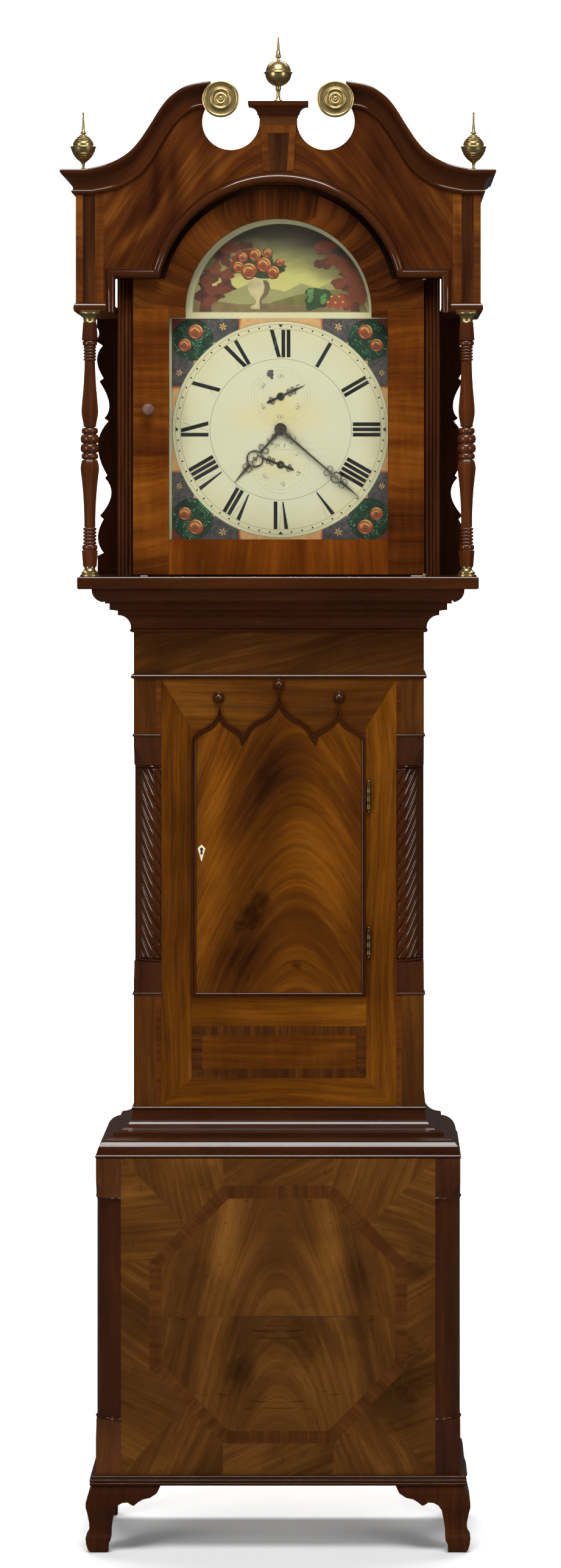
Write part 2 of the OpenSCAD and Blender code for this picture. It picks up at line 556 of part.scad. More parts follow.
module movement_frame() mv() {
  color(brass) for (y = [-48, 17]) difference() {
    box([-82, y, -90], [80, y + 3, 90]);
    for (p = [P_great, P_strike, P_second, P_sec, P_pin, P_warn, P_fly,
      [-62, 40]]) rod(p, 1.55, y - 1, y + 4);
    rod(P_anchor, 2.55, y - 1, y + 4);
  }
  color(brass) for (p = [[-72, -80], [70, -80], [-76, 12], [70, 80]])
    rod(p, 5, -44.9, 16.9);
  // posts that carry the dial, the hands and the minute wheel
  color(steel) {
    for (p = [[-60, -70], [60, -70], [-60, 70], [60, 70]])
      rod(p, 3, -75.9, -48.1);
    rod([0, 0], 2, -84.4, -48.1);
    rod(P_minute, 1.2, -70, -48.1);
    // stud of the date hand, on a cock from the front plate
    rod(P_date, 1.2, -79, -70.2);
    box([-4, -72, P_date[1] - 12], [4, -70, P_date[1] + 5]);
    box([-4, -72, P_date[1] - 12], [4, -48.1, P_date[1] - 9]);
  }
  // bell post on its bar, with the nut over the bell
  color(steel) {
    box([26, -44.9, 80], [34, 16.9, 86]);
    translate([30, -19, 86]) cylinder(r = 5, h = 31.7);
    translate([30, -19, 117]) cylinder(r = 3, h = 12);
    translate([30, -19, 121.1]) cylinder(r = 6, h = 4, $fn = 6);
  }
  // back cock that the pendulum hangs from
  color(brass) difference() {
    union() {
      box([-14, 20.1, 92], [14, 24, 112]);
      box([-6, 24, 92], [6, 62, 100]);
      box([-14, 20.1, 76], [-8, 24, 92]);
      box([8, 20.1, 76], [14, 24, 92]);
    }
    box([-0.6, 46, 90], [0.6, 63, 97]);
  }
}
module bell() color([0.7, 0.62, 0.42]) mv() translate([30, -19, 0])
  rotate_extrude($fn = 96) polygon([[3.1, 121], [14, 121], [26, 118.4],
    [34, 113.6], [38, 107], [40, 98], [42, 94], [38.6, 95], [36.6, 98.4],
    [34.6, 106.4], [31.4, 111.4], [24.4, 115.6], [13.6, 117.8], [3.1, 117.8]]);
// a pointed hand with a ring in it; all in the plane of the dial
module ring2(y, r, w) translate([0, y]) difference() {
  circle(r = r); circle(r = r - w);
}
module scroll2(y, r, w, s) {
  // a pair of open curls either side of the hand's stem
  for (k = [1, -1]) m2(k) translate([r * 0.9, y]) difference() {
    circle(r = r);
    circle(r = r - w);
    translate([-r * 0.2, s > 0 ? -r * 1.1 : 0]) square([r * 1.3, r * 1.1]);
  }
}
module hand_2d(len, ry, rr, hub, bore) difference() {
  union() {
    circle(r = hub);
    polygon([[-1.9, 0], [-1.3, ry - rr], [1.3, ry - rr], [1.9, 0]]);
    polygon([[-1.7, ry + rr - 1], [-2.3, ry + rr + 8], [-0.45, len - 3],
      [0, len], [0.45, len - 3], [2.3, ry + rr + 8], [1.7, ry + rr - 1]]);
    ring2(ry, rr, 1.8);
    scroll2(ry + rr * 0.3, rr * 0.42, 1.1, 1);
    scroll2(ry - rr * 0.3, rr * 0.42, 1.1, -1);
    ring2(hub + 6, 4.6, 1.4);
    scroll2(ry - rr - 7, 5, 1.3, -1);
    scroll2(ry - rr - 7, 5, 1.3, 1);
    scroll2(ry + rr + 6, 4.4, 1.2, 1);
    scroll2(ry + rr + 5, 4.4, 1.2, -1);
    scroll2(hub + 15, 3.8, 1.2, 1);
  }
  circle(r = bore);
}
module small_hand(len, tail, a, y0, y1) rotate([0, a, 0]) difference() {
  union() {
    rod([0, 0], 6.4, y0, y1);
    slab_y(y0, y1) polygon([[-1.5, 0], [-2.4, len * 0.55], [0, len],
      [2.4, len * 0.55], [1.5, 0], [2.6, -tail * 0.8], [0, -tail],
      [-2.6, -tail * 0.8]]);
    for (q = [[len * 0.52, 3], [len * 0.34, 2.8], [-tail * 0.6, 2.8]])
      for (k = [-1, 1]) difference() {
        rod([k * 3.4, q[0]], q[1], y0, y1);
        rod([k * 3.4, q[0]], q[1] - 1.1, y0 - 1, y1 + 1);
      }
  }
  rod([0, 0], 1.6, y0 - 1, y1 + 1);
}
module minute_hand() color(steel) mv() {
  slab_y(-82.6, -81.6) rotate(-131) hand_2d(minute_len, minute_len * 0.7, 9.5,
    10.2, 2.6);
  // collet, pipe and cannon wheel
  translate([0, 0, 0]) slab_y(-84, -82.7) difference() {
    circle(r = 6.5); circle(r = 2.05); }
  slab_y(-83, -48.5) difference() { circle(r = 2.6); circle(r = 2.05); }
  wheel_bored([0, 0], 36, 0.7, mesh(r_min, dir(P_minute, [0, 0]), 36, 36),
    -58, -56, 2.6);
}
module wheel_bored(p, z, m, rot, y0, y1, b) translate([p[0], 0, p[1]])
  slab_y(y0, y1) difference() { gear(z, m, rot); circle(r = b); }
r_rep = dir(P_great, P_minute);
r_min = mesh(r_rep, dir(P_great, P_minute), 36, 36);
mm = 0.6461538;        // module of the hour wheel and its pinion
module hour_hand() color(steel) mv() {
  slab_y(-80.4, -79.4) rotate(-221) hand_2d(hour_len, hour_len * 0.55, 14,
    9, 4);
  slab_y(-80.4, -62) difference() { circle(r = 4); circle(r = 2.7); }
  wheel_bored([0, 0], 72, mm, dir([0, 0], P_minute), -66, -64, 4);
}
module minute_wheel() color(brass) mv() {
  wheel_bored(P_minute, 36, 0.7, r_min, -58, -56, 1.25);
  wheel_bored(P_minute, 6, mm, mesh(0, 0, 72, 6) + dir([0, 0], P_minute),
    -68, -58, 1.25);
}
module seconds_hand() color(steel) mv() translate([P_sec[0], 0, P_sec[1]])
  small_hand(44, 26, 65, -79, -78.2);
module date_hand() color(steel) mv() translate([P_date[0], 0, P_date[1]]) {
  small_hand(40, 24, 291, -78.8, -78);
  slab_y(-78, -72.4) difference() { circle(r = 2.6); circle(r = 1.25); }
  slab_y(-74.4, -73) difference() { gear(31, 1.1, 0); circle(r = 2.6); }
}
// an arbor with its two pivots
module arbor(p, r) { rod(p, r, -44.6, 16.6); rod(p, 1.5, -48, 20); }
module sprocket(p) {
  rod(p, 12.5, -2.4, 10.4); rod(p, 16.5, -4.4, -2.4); rod(p, 16.5, 10.4, 12.4);
}
module great_wheel() color(brass) mv() {
  arbor(P_great, 3); rod(P_great, 1.5, -62, -48);
  wheel(P_great, 80, 1.2, dir(P_great, P_second), -38, -35.5, 4);
  sprocket(P_great);
  wheel(P_great, 36, 0.7, r_rep, -58, -56, 0);
}
module second_wheel() color(brass) mv() {
  arbor(P_second, 2.4);
  wheel(P_second, 8, 1.2, mesh(0, 0, 80, 8) + dir(P_great, P_second),
    -41, -32, 0);
  wheel(P_second, 48, 1, dir(P_second, P_sec), -8, -6, 4);
}
module escape_wheel() color(brass) mv() {
  arbor(P_sec, 2);
  rod(P_sec, 1.5, -79.2, -48);
  wheel(P_sec, 8, 1, mesh(0, 0, 48, 8) + dir(P_second, P_sec), -12, -4, 0);
  translate([P_sec[0], 0, P_sec[1]]) slab_y(12.6, 14) {
    difference() {
      polygon([for (i = [0:29], q = [[0, 16.6], [5, 19], [5.9, 19],
        [8, 16.6]]) q[1] * [cos(12 * i + q[0]), sin(12 * i + q[0])]]);
      difference() {
        circle(r = 14.4);
        circle(r = 4.5);
        for (i = [0:3]) rotate(90 * i) translate([0, -1]) square([16, 2]);
      }
    }
  }
}
module anchor() color(steel) mv() {
  rod(P_anchor, 2.5, -48, 33);
  translate([P_anchor[0], 0, P_anchor[1]]) {
    slab_y(11.4, 15.2) {
      circle(r = 4.6);
      for (s = [1, -1]) m2(s) polygon([[-0.5, 4.4], [9, 1], [17, -6.4],
        [19.6, -14], [16.2, -15.2], [13, -8.8], [7, -4], [-0.5, -4.4]]);
    }
    // crutch and its fork round the pendulum rod
    slab_y(29, 32) polygon([[-4, 4], [4, 4], [2.4, -96], [-2.4, -96]]);
    box([-7, 32, -98], [7, 40, -92]);
    box([-2.4, 29, -98], [2.4, 32, -92]);
    for (x = [-7, 4]) box([x, 40, -98], [x + 3, 64, -92]);
  }
}
module strike_great_wheel() color(brass) mv() {
  arbor(P_strike, 3);
  wheel(P_strike, 72, 1.2, dir(P_strike, P_pin), -28, -25.5, 4);
  sprocket(P_strike);
}
module pin_wheel() color(brass) mv() {
  arbor(P_pin, 2.4);
  wheel(P_pin, 8, 1.2, mesh(0, 0, 72, 8) + dir(P_strike, P_pin), -31, -22, 0);
  wheel(P_pin, 48, 1, dir(P_pin, P_warn), -18, -16, 4);
  for (i = [0:7]) rod(P_pin + 19.6 * [cos(45 * i + 22.5),
    sin(45 * i + 22.5)], 1, -16, -10);
}
module warning_wheel() color(brass) mv() {
  arbor(P_warn, 2);
  wheel(P_warn, 8, 1, mesh(0, 0, 48, 8) + dir(P_pin, P_warn), -21, -12, 0);
  wheel(P_warn, 40, 0.9, dir(P_warn, P_fly), -6, -4.6, 4);
}
module strike_fly() color(brass) mv() {
  arbor(P_fly, 1.8);
  wheel(P_fly, 8, 0.9, mesh(0, 0, 40, 8) + dir(P_warn, P_fly), -10, -1, 0);
  translate([P_fly[0], 0, P_fly[1]]) box([-13, 1, -0.5], [13, 13, 0.5]);
}
module hammer() color(steel) mv() {
  arbor([-62, 40], 2.4);
  slab_y(-16, -12) polygon([[-64.5, 40], [-59.5, 38], [-58, 96],
    [-26, 100], [-26, 104], [-63, 101]]);
  slab_y(-16, -12) polygon([[-62, 42], [-53, 32], [-54.6, 30], [-63.6, 38]]);
  translate([-27, -14, 102]) rotate([0, 90, 0]) cylinder(r = 6.5, h = 13.2);
}
module pendulum() mv() translate([P_anchor[0], 55, P_anchor[1]]) {
  color(steel) {
    // suspension spring, its brass block, and the rod
    box([-0.4, -7, -24], [0.4, 7, 10]);
    box([-3.4, -4, -40], [3.4, 4, -24]);
    translate([0, 0, -pendulum_len - 84]) cylinder(r = 2.4,
      h = pendulum_len + 44);
  }
  // lenticular bob and its rating nut
  color(brass) {
    difference() {
      translate([0, 0, -pendulum_len]) rotate([90, 0, 0])
        rotate_extrude($fn = 96) polygon([[0, -13], [14, -12.2], [34, -8.2],
          [54, -1.2], [55, 0], [54, 1.2], [34, 8.2], [14, 12.2], [0, 13]]);
      box([-2.6, -2.6, -pendulum_len - 60], [2.6, 2.6, -pendulum_len + 60]);
    }
    translate([0, 0, -pendulum_len - 66]) difference() {
      cylinder(r = 9, h = 8);
      translate([0, 0, -1]) cylinder(r = 2.5, h = 10);
    }
  }
}
// the driving weight hangs from a pulley that rides in a loop of the chain
wx = dcx + (P_great[0] + P_strike[0]) / 2;
wy = 4;
zc = dial_z + P_great[1];  // height of both sprockets
zp = 1300;             // height of the pulley's centre, half run down
zr = 790;              // height of the counterweight loop's centre
rs = 15;               // radius of the chain on its sprockets
rw = (P_great[0] - P_strike[0]) / 2 - rs; // radius of the weight's loop
rl = (P_great[0] - P_strike[0]) / 2 + rs; // radius of the slack loop
yl = -42;              // the slack loop hangs in front of the weight
module weight_pulley() color(brass) translate([wx, wy, zp])
  rotate([90, 0, 0]) difference() {
    union() {
      translate([0, 0, -3.2]) cylinder(r = rw - 2.5, h = 6.4);
      for (z = [-4.6, 3.2]) translate([0, 0, z]) cylinder(r = rw + 2, h = 1.4);
    }
    translate([0, 0, -6]) cylinder(r = 2.05, h = 12);
  }
module driving_weight() {
  color(steel) translate([wx, wy, zp]) {
    rod([0, 0], 2, -8, 8);
    for (y = [-8, 6]) box([-5, y, -30], [5, y + 2, 6]);
    box([-5, -8, -33], [5, 8, -30]);
    translate([0, 0, -46]) cylinder(r = 2.5, h = 13);
  }
  color([0.2, 0.2, 0.2]) translate([wx, wy, zp - 240]) rotate_extrude()
    polygon(concat([[0, 0], [weight_r - 3, 0], [weight_r, 3],
      [weight_r, 180]], arc(weight_r - 12, 182, 12, 0, 80, 5),
      [[8, 196], [0, 196]]));
}
module chain_counterweight() color([0.35, 0.35, 0.38])
  translate([wx, yl, zr - rl]) {
    rotate([0, 90, 0]) rotate_extrude() translate([5, 0]) circle(r = 1.5);
    translate([0, 0, -50]) cylinder(r = 9, h = 42);
    translate([0, 0, -9]) cylinder(r = 2, h = 4);
  }
// one endless chain: over the going sprocket, round the weight's pulley, over
// the strike sprocket, and down through the slack loop
function ringpt(x, y, z, r, a0, a1, n) = [for (i = [0:n]) let (a = a0
  + (a1 - a0) * i / n) [x + r * cos(a), y, z + r * sin(a)]];
chain_route = concat(
  ringpt(dcx + P_great[0], wy, zc, rs, 0, 180, 8),
  ringpt(wx, wy, zp, rw, 0, -180, 8),
  ringpt(dcx + P_strike[0], wy, zc, rs, 0, 180, 8),
  ringpt(wx, yl, zr, rl, 180, 360, 14));
module chain() color(steel) {
  n = len(chain_route); k = 8; r = 2;
  pts = [for (i = [0:n - 1], j = [0:k - 1]) let (
    t = chain_route[(i + 1) % n] - chain_route[(i + n - 1) % n],
    u = t / norm(t), v0 = cross(u, [0, 1, 0]), v = v0 / norm(v0),
    w = cross(v, u), a = 360 * j / k)
    chain_route[i] + r * (cos(a) * v + sin(a) * w)];
  polyhedron(pts, [for (i = [0:n - 1], j = [0:k - 1]) let (i2 = (i + 1) % n,
    j2 = (j + 1) % k) [i * k + j, i * k + j2, i2 * k + j2, i2 * k + j]]);
}

backboard();
base_front_panel();
base_side_panels();
corner_blocks();
base_quarter_columns();
plinth_moulding();
bracket_feet();
waist_moulding();
trunk_front_frame();
trunk_side_panels();
trunk_quarter_columns();
trunk_trim();
throat_moulding();
seat_board();
trunk_hinges();
trunk_door();
trunk_door_moulding();
door_fittings();
escutcheon();
lock_bolt();
hood_slab();
hood_carcass();
hood_pilasters();
hood_wings();
hood_frieze();
hood_side_friezes();
hood_mask();
arch_bead();
cornice_moulding();
pedestal();
brass_roundels();
brass_finials();
hood_columns();
column_brasses();
hood_door_frame();
hood_door_glass();
hood_door_knob();
hood_door_pivots();
dial_plate();
movement_frame();
bell();
hour_hand();
minute_hand();
seconds_hand();
date_hand();
minute_wheel();
great_wheel();
second_wheel();
escape_wheel();
anchor();
strike_great_wheel();
pin_wheel();
warning_wheel();
strike_fly();
hammer();
pendulum();
driving_weight();
weight_pulley();
chain_counterweight();
chain();
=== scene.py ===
import bpy, math, random, json
from mathutils import Vector, noise
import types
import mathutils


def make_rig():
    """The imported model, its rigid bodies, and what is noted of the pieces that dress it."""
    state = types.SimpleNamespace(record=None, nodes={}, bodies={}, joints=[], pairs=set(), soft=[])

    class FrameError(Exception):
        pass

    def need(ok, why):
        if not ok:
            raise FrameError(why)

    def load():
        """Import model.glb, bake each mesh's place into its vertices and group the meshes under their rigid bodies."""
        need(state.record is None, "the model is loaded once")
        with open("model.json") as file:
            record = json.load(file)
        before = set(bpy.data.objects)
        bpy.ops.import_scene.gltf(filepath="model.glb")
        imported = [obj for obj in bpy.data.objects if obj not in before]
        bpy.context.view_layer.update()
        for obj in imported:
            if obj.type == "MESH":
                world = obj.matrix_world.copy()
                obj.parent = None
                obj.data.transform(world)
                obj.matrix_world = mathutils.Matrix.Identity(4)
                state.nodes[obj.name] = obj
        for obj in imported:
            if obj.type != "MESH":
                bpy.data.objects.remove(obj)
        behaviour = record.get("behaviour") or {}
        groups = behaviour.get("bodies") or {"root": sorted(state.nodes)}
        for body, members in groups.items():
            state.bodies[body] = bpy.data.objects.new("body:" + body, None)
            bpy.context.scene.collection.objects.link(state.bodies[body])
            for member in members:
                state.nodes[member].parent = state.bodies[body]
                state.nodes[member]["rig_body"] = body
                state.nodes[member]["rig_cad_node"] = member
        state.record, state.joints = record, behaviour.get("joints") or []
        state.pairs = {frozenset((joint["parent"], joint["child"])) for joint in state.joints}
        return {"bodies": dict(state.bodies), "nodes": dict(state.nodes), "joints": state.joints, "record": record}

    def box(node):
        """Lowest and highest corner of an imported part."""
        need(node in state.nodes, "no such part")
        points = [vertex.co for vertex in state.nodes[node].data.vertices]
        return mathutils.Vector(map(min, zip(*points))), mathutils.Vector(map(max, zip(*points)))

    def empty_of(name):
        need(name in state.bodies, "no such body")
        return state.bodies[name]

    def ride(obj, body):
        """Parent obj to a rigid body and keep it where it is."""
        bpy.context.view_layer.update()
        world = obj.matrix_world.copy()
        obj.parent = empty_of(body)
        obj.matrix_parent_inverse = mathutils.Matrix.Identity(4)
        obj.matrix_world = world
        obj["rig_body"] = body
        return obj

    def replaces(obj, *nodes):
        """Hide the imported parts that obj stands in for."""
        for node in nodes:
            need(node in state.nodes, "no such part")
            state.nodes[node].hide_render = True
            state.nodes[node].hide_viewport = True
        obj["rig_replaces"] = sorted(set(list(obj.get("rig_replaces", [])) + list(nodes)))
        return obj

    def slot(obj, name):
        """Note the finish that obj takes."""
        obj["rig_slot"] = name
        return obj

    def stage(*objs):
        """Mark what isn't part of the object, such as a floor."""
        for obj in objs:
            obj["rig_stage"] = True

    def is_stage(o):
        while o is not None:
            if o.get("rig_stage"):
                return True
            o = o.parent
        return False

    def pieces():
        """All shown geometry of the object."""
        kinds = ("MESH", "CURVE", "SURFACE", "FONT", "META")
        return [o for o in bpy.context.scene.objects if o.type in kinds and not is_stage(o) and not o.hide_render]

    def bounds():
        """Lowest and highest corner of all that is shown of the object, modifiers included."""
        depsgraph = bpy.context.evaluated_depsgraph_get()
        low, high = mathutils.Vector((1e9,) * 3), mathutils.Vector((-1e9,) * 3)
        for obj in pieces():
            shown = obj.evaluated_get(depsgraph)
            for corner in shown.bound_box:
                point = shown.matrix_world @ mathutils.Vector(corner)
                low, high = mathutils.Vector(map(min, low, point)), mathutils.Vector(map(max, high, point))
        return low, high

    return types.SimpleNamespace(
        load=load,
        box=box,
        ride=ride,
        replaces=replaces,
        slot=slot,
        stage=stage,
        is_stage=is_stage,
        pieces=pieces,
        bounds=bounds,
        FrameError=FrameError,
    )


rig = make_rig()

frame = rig.load()
CAD_BOX = [list(map(float, v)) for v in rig.bounds()]
N = frame["nodes"]
S = bpy.context.scene
rnd = random.Random(7)

# main sizes of the frame, in metres
YT = -0.0725            # front plane of the trunk
THW, BHW = 0.2335, 0.291
YB = YT - (BHW - THW)   # front plane of the base
YBACK = 0.1475
YFR = YT - 0.045        # front of the frieze
YDOOR = YT - 0.033      # front of the hood door
YDIAL = YT - 0.005      # front of the dial
DCX, DZ = 0.003, 1.7926

# ------------------------------------------------------------------ nodes
class Graph:
    def __init__(self, name):
        self.m = bpy.data.materials.new(name)
        self.m.use_nodes = True
        self.t = self.m.node_tree
        self.b = self.t.nodes["Principled BSDF"]
        self.out = self.t.nodes["Material Output"]

    def put(self, sock, v):
        if isinstance(v, bpy.types.NodeSocket):
            self.t.links.new(v, sock)
        elif v is not None:
            sock.default_value = v

    def n(self, kind, **kw):
        x = self.t.nodes.new(kind)
        for k, v in kw.items():
            setattr(x, k, v)
        return x

    def math(self, op, a, b=None, c=None, clamp=False):
        x = self.n("ShaderNodeMath", operation=op, use_clamp=clamp)
        self.put(x.inputs[0], a)
        self.put(x.inputs[1], b)
        self.put(x.inputs[2], c)
        return x.outputs[0]

    def vec(self, op, a, b=None):
        x = self.n("ShaderNodeVectorMath", operation=op)
        self.put(x.inputs[0], a)
        self.put(x.inputs[1], b)
        return x.outputs[0]

    def sep(self, v):
        x = self.n("ShaderNodeSeparateXYZ")
        self.put(x.inputs[0], v)
        return x.outputs

    def comb(self, a, b, c):
        x = self.n("ShaderNodeCombineXYZ")
        for i, v in enumerate((a, b, c)):
            self.put(x.inputs[i], v)
        return x.outputs[0]

    def noise(self, v, scale=1.0, detail=3.0, rough=0.5, dist=0.0):
        x = self.n("ShaderNodeTexNoise")
        self.put(x.inputs["Vector"], v)
        x.inputs["Scale"].default_value = scale
        x.inputs["Detail"].default_value = detail
        x.inputs["Roughness"].default_value = rough
        x.inputs["Distortion"].default_value = dist
        return x.outputs["Fac"]

    def wave(self, v, scale, dist, detail=2.0, dscale=1.0, kind="BANDS", direction="X"):
        x = self.n("ShaderNodeTexWave", wave_type=kind)
        if kind == "BANDS":
            x.bands_direction = direction
        self.put(x.inputs["Vector"], v)
        x.inputs["Scale"].default_value = scale
        x.inputs["Distortion"].default_value = dist
        x.inputs["Detail"].default_value = detail
        x.inputs["Detail Scale"].default_value = dscale
        return x.outputs["Fac"]

    def ramp(self, fac, stops, interp="LINEAR"):
        x = self.n("ShaderNodeValToRGB")
        x.color_ramp.interpolation = interp
        e = x.color_ramp.elements
        while len(e) < len(stops):
            e.new(0.5)
        for i, (p, c) in enumerate(stops):
            e[i].position = p
            if not hasattr(c, "__len__"):
                c = (c, c, c)
            e[i].color = (c[0], c[1], c[2], 1)
        self.put(x.inputs[0], fac)
        return x.outputs[0]

    def mix(self, fac, a, b, mode="MIX"):
        x = self.n("ShaderNodeMix", data_type="RGBA", blend_type=mode)
        self.put(x.inputs[0], fac)
        for i, v in ((6, a), (7, b)):
            if not isinstance(v, bpy.types.NodeSocket):
                v = (v[0], v[1], v[2], 1)
            self.put(x.inputs[i], v)
        return x.outputs[2]

    def bump(self, h, strength, dist=0.001, normal=None):
        x = self.n("ShaderNodeBump")
        x.inputs["Strength"].default_value = strength
        x.inputs["Distance"].default_value = dist
        self.put(x.inputs["Height"], h)
        if normal is not None:
            self.put(x.inputs["Normal"], normal)
        return x.outputs[0]

    def coords(self, kind="Object"):
        return self.n("ShaderNodeTexCoord").outputs[kind]


def wood(name, dark, mid, light, grain="Z", figure=1.0, fig_scale=1.0, streak=0.5,
         rough=0.38, coat=0.0, coat_rough=0.12, spec=0.03, soft=0.0006, seed=0.0, chevron=None, worn=0.15, wave=0.10,
         pore=0.5, blotch=0.35, fiddle=0.0, scratches=0.0, zdark=None, plumes=None):
    """French-polished mahogany. The grain runs along an axis of the object, or
    along U of the mesh's own UV map, where grain is "UV"."""
    g = Graph(name)
    if grain == "UV":
        u = g.sep(g.coords("UV"))
        across, depth, along = u[1], seed, u[0]
        raw = g.comb(u[1], seed, u[0])
    else:
        u = g.sep(g.coords("Object"))
        order = {"Z": (0, 1, 2), "X": (2, 1, 0), "Y": (0, 2, 1)}[grain]
        across, depth, along = u[order[0]], g.math("ADD", u[order[1]], seed), u[order[2]]
        raw = g.comb(u[0], g.math("ADD", u[1], seed), u[2])
    if chevron:
        xc, a, b = chevron
        ax = g.math("SUBTRACT", across, xc)
        ax = g.math("SQRT", g.math("ADD", g.math("MULTIPLY", ax, ax), soft))
        s = g.math("ADD", g.math("MULTIPLY", ax, a), g.math("MULTIPLY", along, b))
        l = g.math("SUBTRACT", g.math("MULTIPLY", along, a), g.math("MULTIPLY", ax, b))
        across, along = s, l
    # slow bending of the grain
    wob = g.noise(g.comb(g.math("MULTIPLY", across, 2.2), depth, g.math("MULTIPLY", along, 1.3)),
                  1.6, 2, 0.5)
    across = g.math("ADD", across, g.math("MULTIPLY", g.math("SUBTRACT", wob, 0.5), 0.10 * figure))
    big = g.noise(g.comb(g.math("MULTIPLY", across, 7.0 * fig_scale), depth,
                         g.math("MULTIPLY", along, 1.9 * fig_scale)), 1.0, 4, 0.55, 0.6)
    strk = g.noise(g.comb(g.math("MULTIPLY", across, 95.0), depth,
                          g.math("MULTIPLY", along, 3.2)), 1.0, 5, 0.62, 0.15)
    fine = g.noise(g.comb(g.math("MULTIPLY", across, 420.0), depth,
                          g.math("MULTIPLY", along, 16.0)), 1.0, 3, 0.7, 0.0)
    f = g.math("ADD", g.math("MULTIPLY", g.math("SUBTRACT", big, 0.5), 1.5 * figure),
               g.math("MULTIPLY", g.math("SUBTRACT", strk, 0.5), 1.1 * streak))
    f = g.math("ADD", f, g.math("MULTIPLY", g.math("SUBTRACT", fine, 0.5), 0.5 * streak))
    if fiddle:
        fd = g.noise(g.comb(g.math("MULTIPLY", across, 9.0), depth,
                            g.math("MULTIPLY", along, 85.0)), 1.0, 2, 0.5, 0.3)
        f = g.math("ADD", f, g.math("MULTIPLY", g.math("SUBTRACT", fd, 0.5), fiddle))
    if plumes:
        # broad light or dark plumes in the figure, or a band of painted shade where dark plumes follow an overhung
        # edge: (x, z, half width, half height, lean, strength)
        ob = g.sep(g.coords("Object"))
        rag = g.math("MULTIPLY", g.math("SUBTRACT", g.noise(g.comb(
            g.math("MULTIPLY", across, 26.0), depth, g.math("MULTIPLY", along, 9.0)), 1.0, 4, 0.6, 0.5), 0.5), 1.6)
        for (px, pz, rx, rz, lean, ps) in plumes:
            ca, sa = math.cos(math.radians(lean)), math.sin(math.radians(lean))
            dx, dz = g.math("SUBTRACT", ob[0], px), g.math("SUBTRACT", ob[2], pz)
            a1 = g.math("DIVIDE", g.math("ADD", g.math("MULTIPLY", dx, ca), g.math("MULTIPLY", dz, sa)), rx)
            b1 = g.math("DIVIDE", g.math("SUBTRACT", g.math("MULTIPLY", dz, ca), g.math("MULTIPLY", dx, sa)), rz)
            d2 = g.math("ADD", g.math("ADD", g.math("MULTIPLY", a1, a1), g.math("MULTIPLY", b1, b1)), rag)
            k = g.math("EXPONENT", g.math("MULTIPLY", g.math("MAXIMUM", d2, 0.0), -0.8))
            f = g.math("ADD", f, g.math("MULTIPLY", k, ps))
    f = g.math("ADD", f, 0.5, clamp=True)
    col = g.ramp(f, [(0.12, dark), (0.5, mid), (0.88, light)])
    # open pores: short dark dashes
    po = g.noise(g.comb(g.math("MULTIPLY", across, 900.0), depth,
                        g.math("MULTIPLY", along, 60.0)), 1.0, 1, 0.5)
    pm = g.ramp(po, [(0.60, 0.0), (0.70, 1.0)])
    col = g.mix(g.math("MULTIPLY", pm, 0.55 * pore), col, [c * 0.35 for c in dark])
    # patina, darker where polish and dirt have gathered
    bl = g.noise(raw, 5.5, 4, 0.6, 0.5)
    bm = g.ramp(bl, [(0.50, 0.0), (0.78, 1.0)])
    col = g.mix(g.math("MULTIPLY", bm, blotch), col, [c * 0.42 for c in dark])
    ro = g.math("MULTIPLY_ADD", g.noise(raw, 24.0, 3, 0.6), 0.22, rough - 0.09)
    if scratches:
        v = g.n("ShaderNodeTexVoronoi", feature="F1", distance="EUCLIDEAN")
        g.put(v.inputs["Vector"], g.vec("MULTIPLY", raw, (1.0, 1.0, 1.0)))
        v.inputs["Scale"].default_value = 46.0
        dots = g.ramp(v.outputs["Distance"], [(0.0, 1.0), (0.10, 0.0)])
        sparse = g.ramp(g.noise(raw, 17.0, 2, 0.5), [(0.56, 0.0), (0.62, 1.0)])
        sc = g.math("MULTIPLY", dots, sparse)
        w = g.noise(g.comb(g.math("MULTIPLY", across, 60.0), depth, g.math("MULTIPLY", along, 260.0)),
                    1.0, 1, 0.5)
        line = g.math("MULTIPLY", g.ramp(w, [(0.70, 0.0), (0.74, 1.0)]), 0.8)
        sc = g.math("MAXIMUM", sc, line)
        col = g.mix(g.math("MULTIPLY", sc, scratches), col, [c * 0.2 for c in dark])
    if zdark:
        # soft dark patches at given places: (x, z, radius, strength)
        ob = g.sep(g.coords("Object"))
        for (px, pz, pr, ps) in zdark:
            dx = g.math("DIVIDE", g.math("SUBTRACT", ob[0], px), pr)
            dz = g.math("DIVIDE", g.math("SUBTRACT", ob[2], pz), pr)
            d2 = g.math("ADD", g.math("MULTIPLY", dx, dx), g.math("MULTIPLY", dz, dz))
            rag = g.noise(g.coords("Object"), 60.0, 5, 0.7, 1.0)
            d2 = g.math("ADD", d2, g.math("MULTIPLY", g.math("SUBTRACT", rag, 0.5), 2.4))
            k = g.ramp(d2, [(0.0, 1.0), (0.45, 0.6), (1.15, 0.0)])
            col = g.mix(g.math("MULTIPLY", k, ps), col, [c * 0.25 for c in dark])
    g.put(g.b.inputs["Base Color"], col)
    g.put(g.b.inputs["Roughness"], ro)
    g.b.inputs["Specular IOR Level"].default_value = spec
    g.b.inputs["Coat Weight"].default_value = coat
    g.b.inputs["Coat Roughness"].default_value = coat_rough
    nb = g.bump(g.math("ADD", g.math("MULTIPLY", fine, 0.4), g.math("MULTIPLY", bl, 1.2)), 0.12, 0.0006)
    g.put(g.b.inputs["Normal"], nb)
    wav = g.noise(g.coords("Object"), 34.0, 2, 0.5)
    g.put(g.b.inputs["Coat Normal"], g.bump(wav, wave, 0.0012))
    return g.m


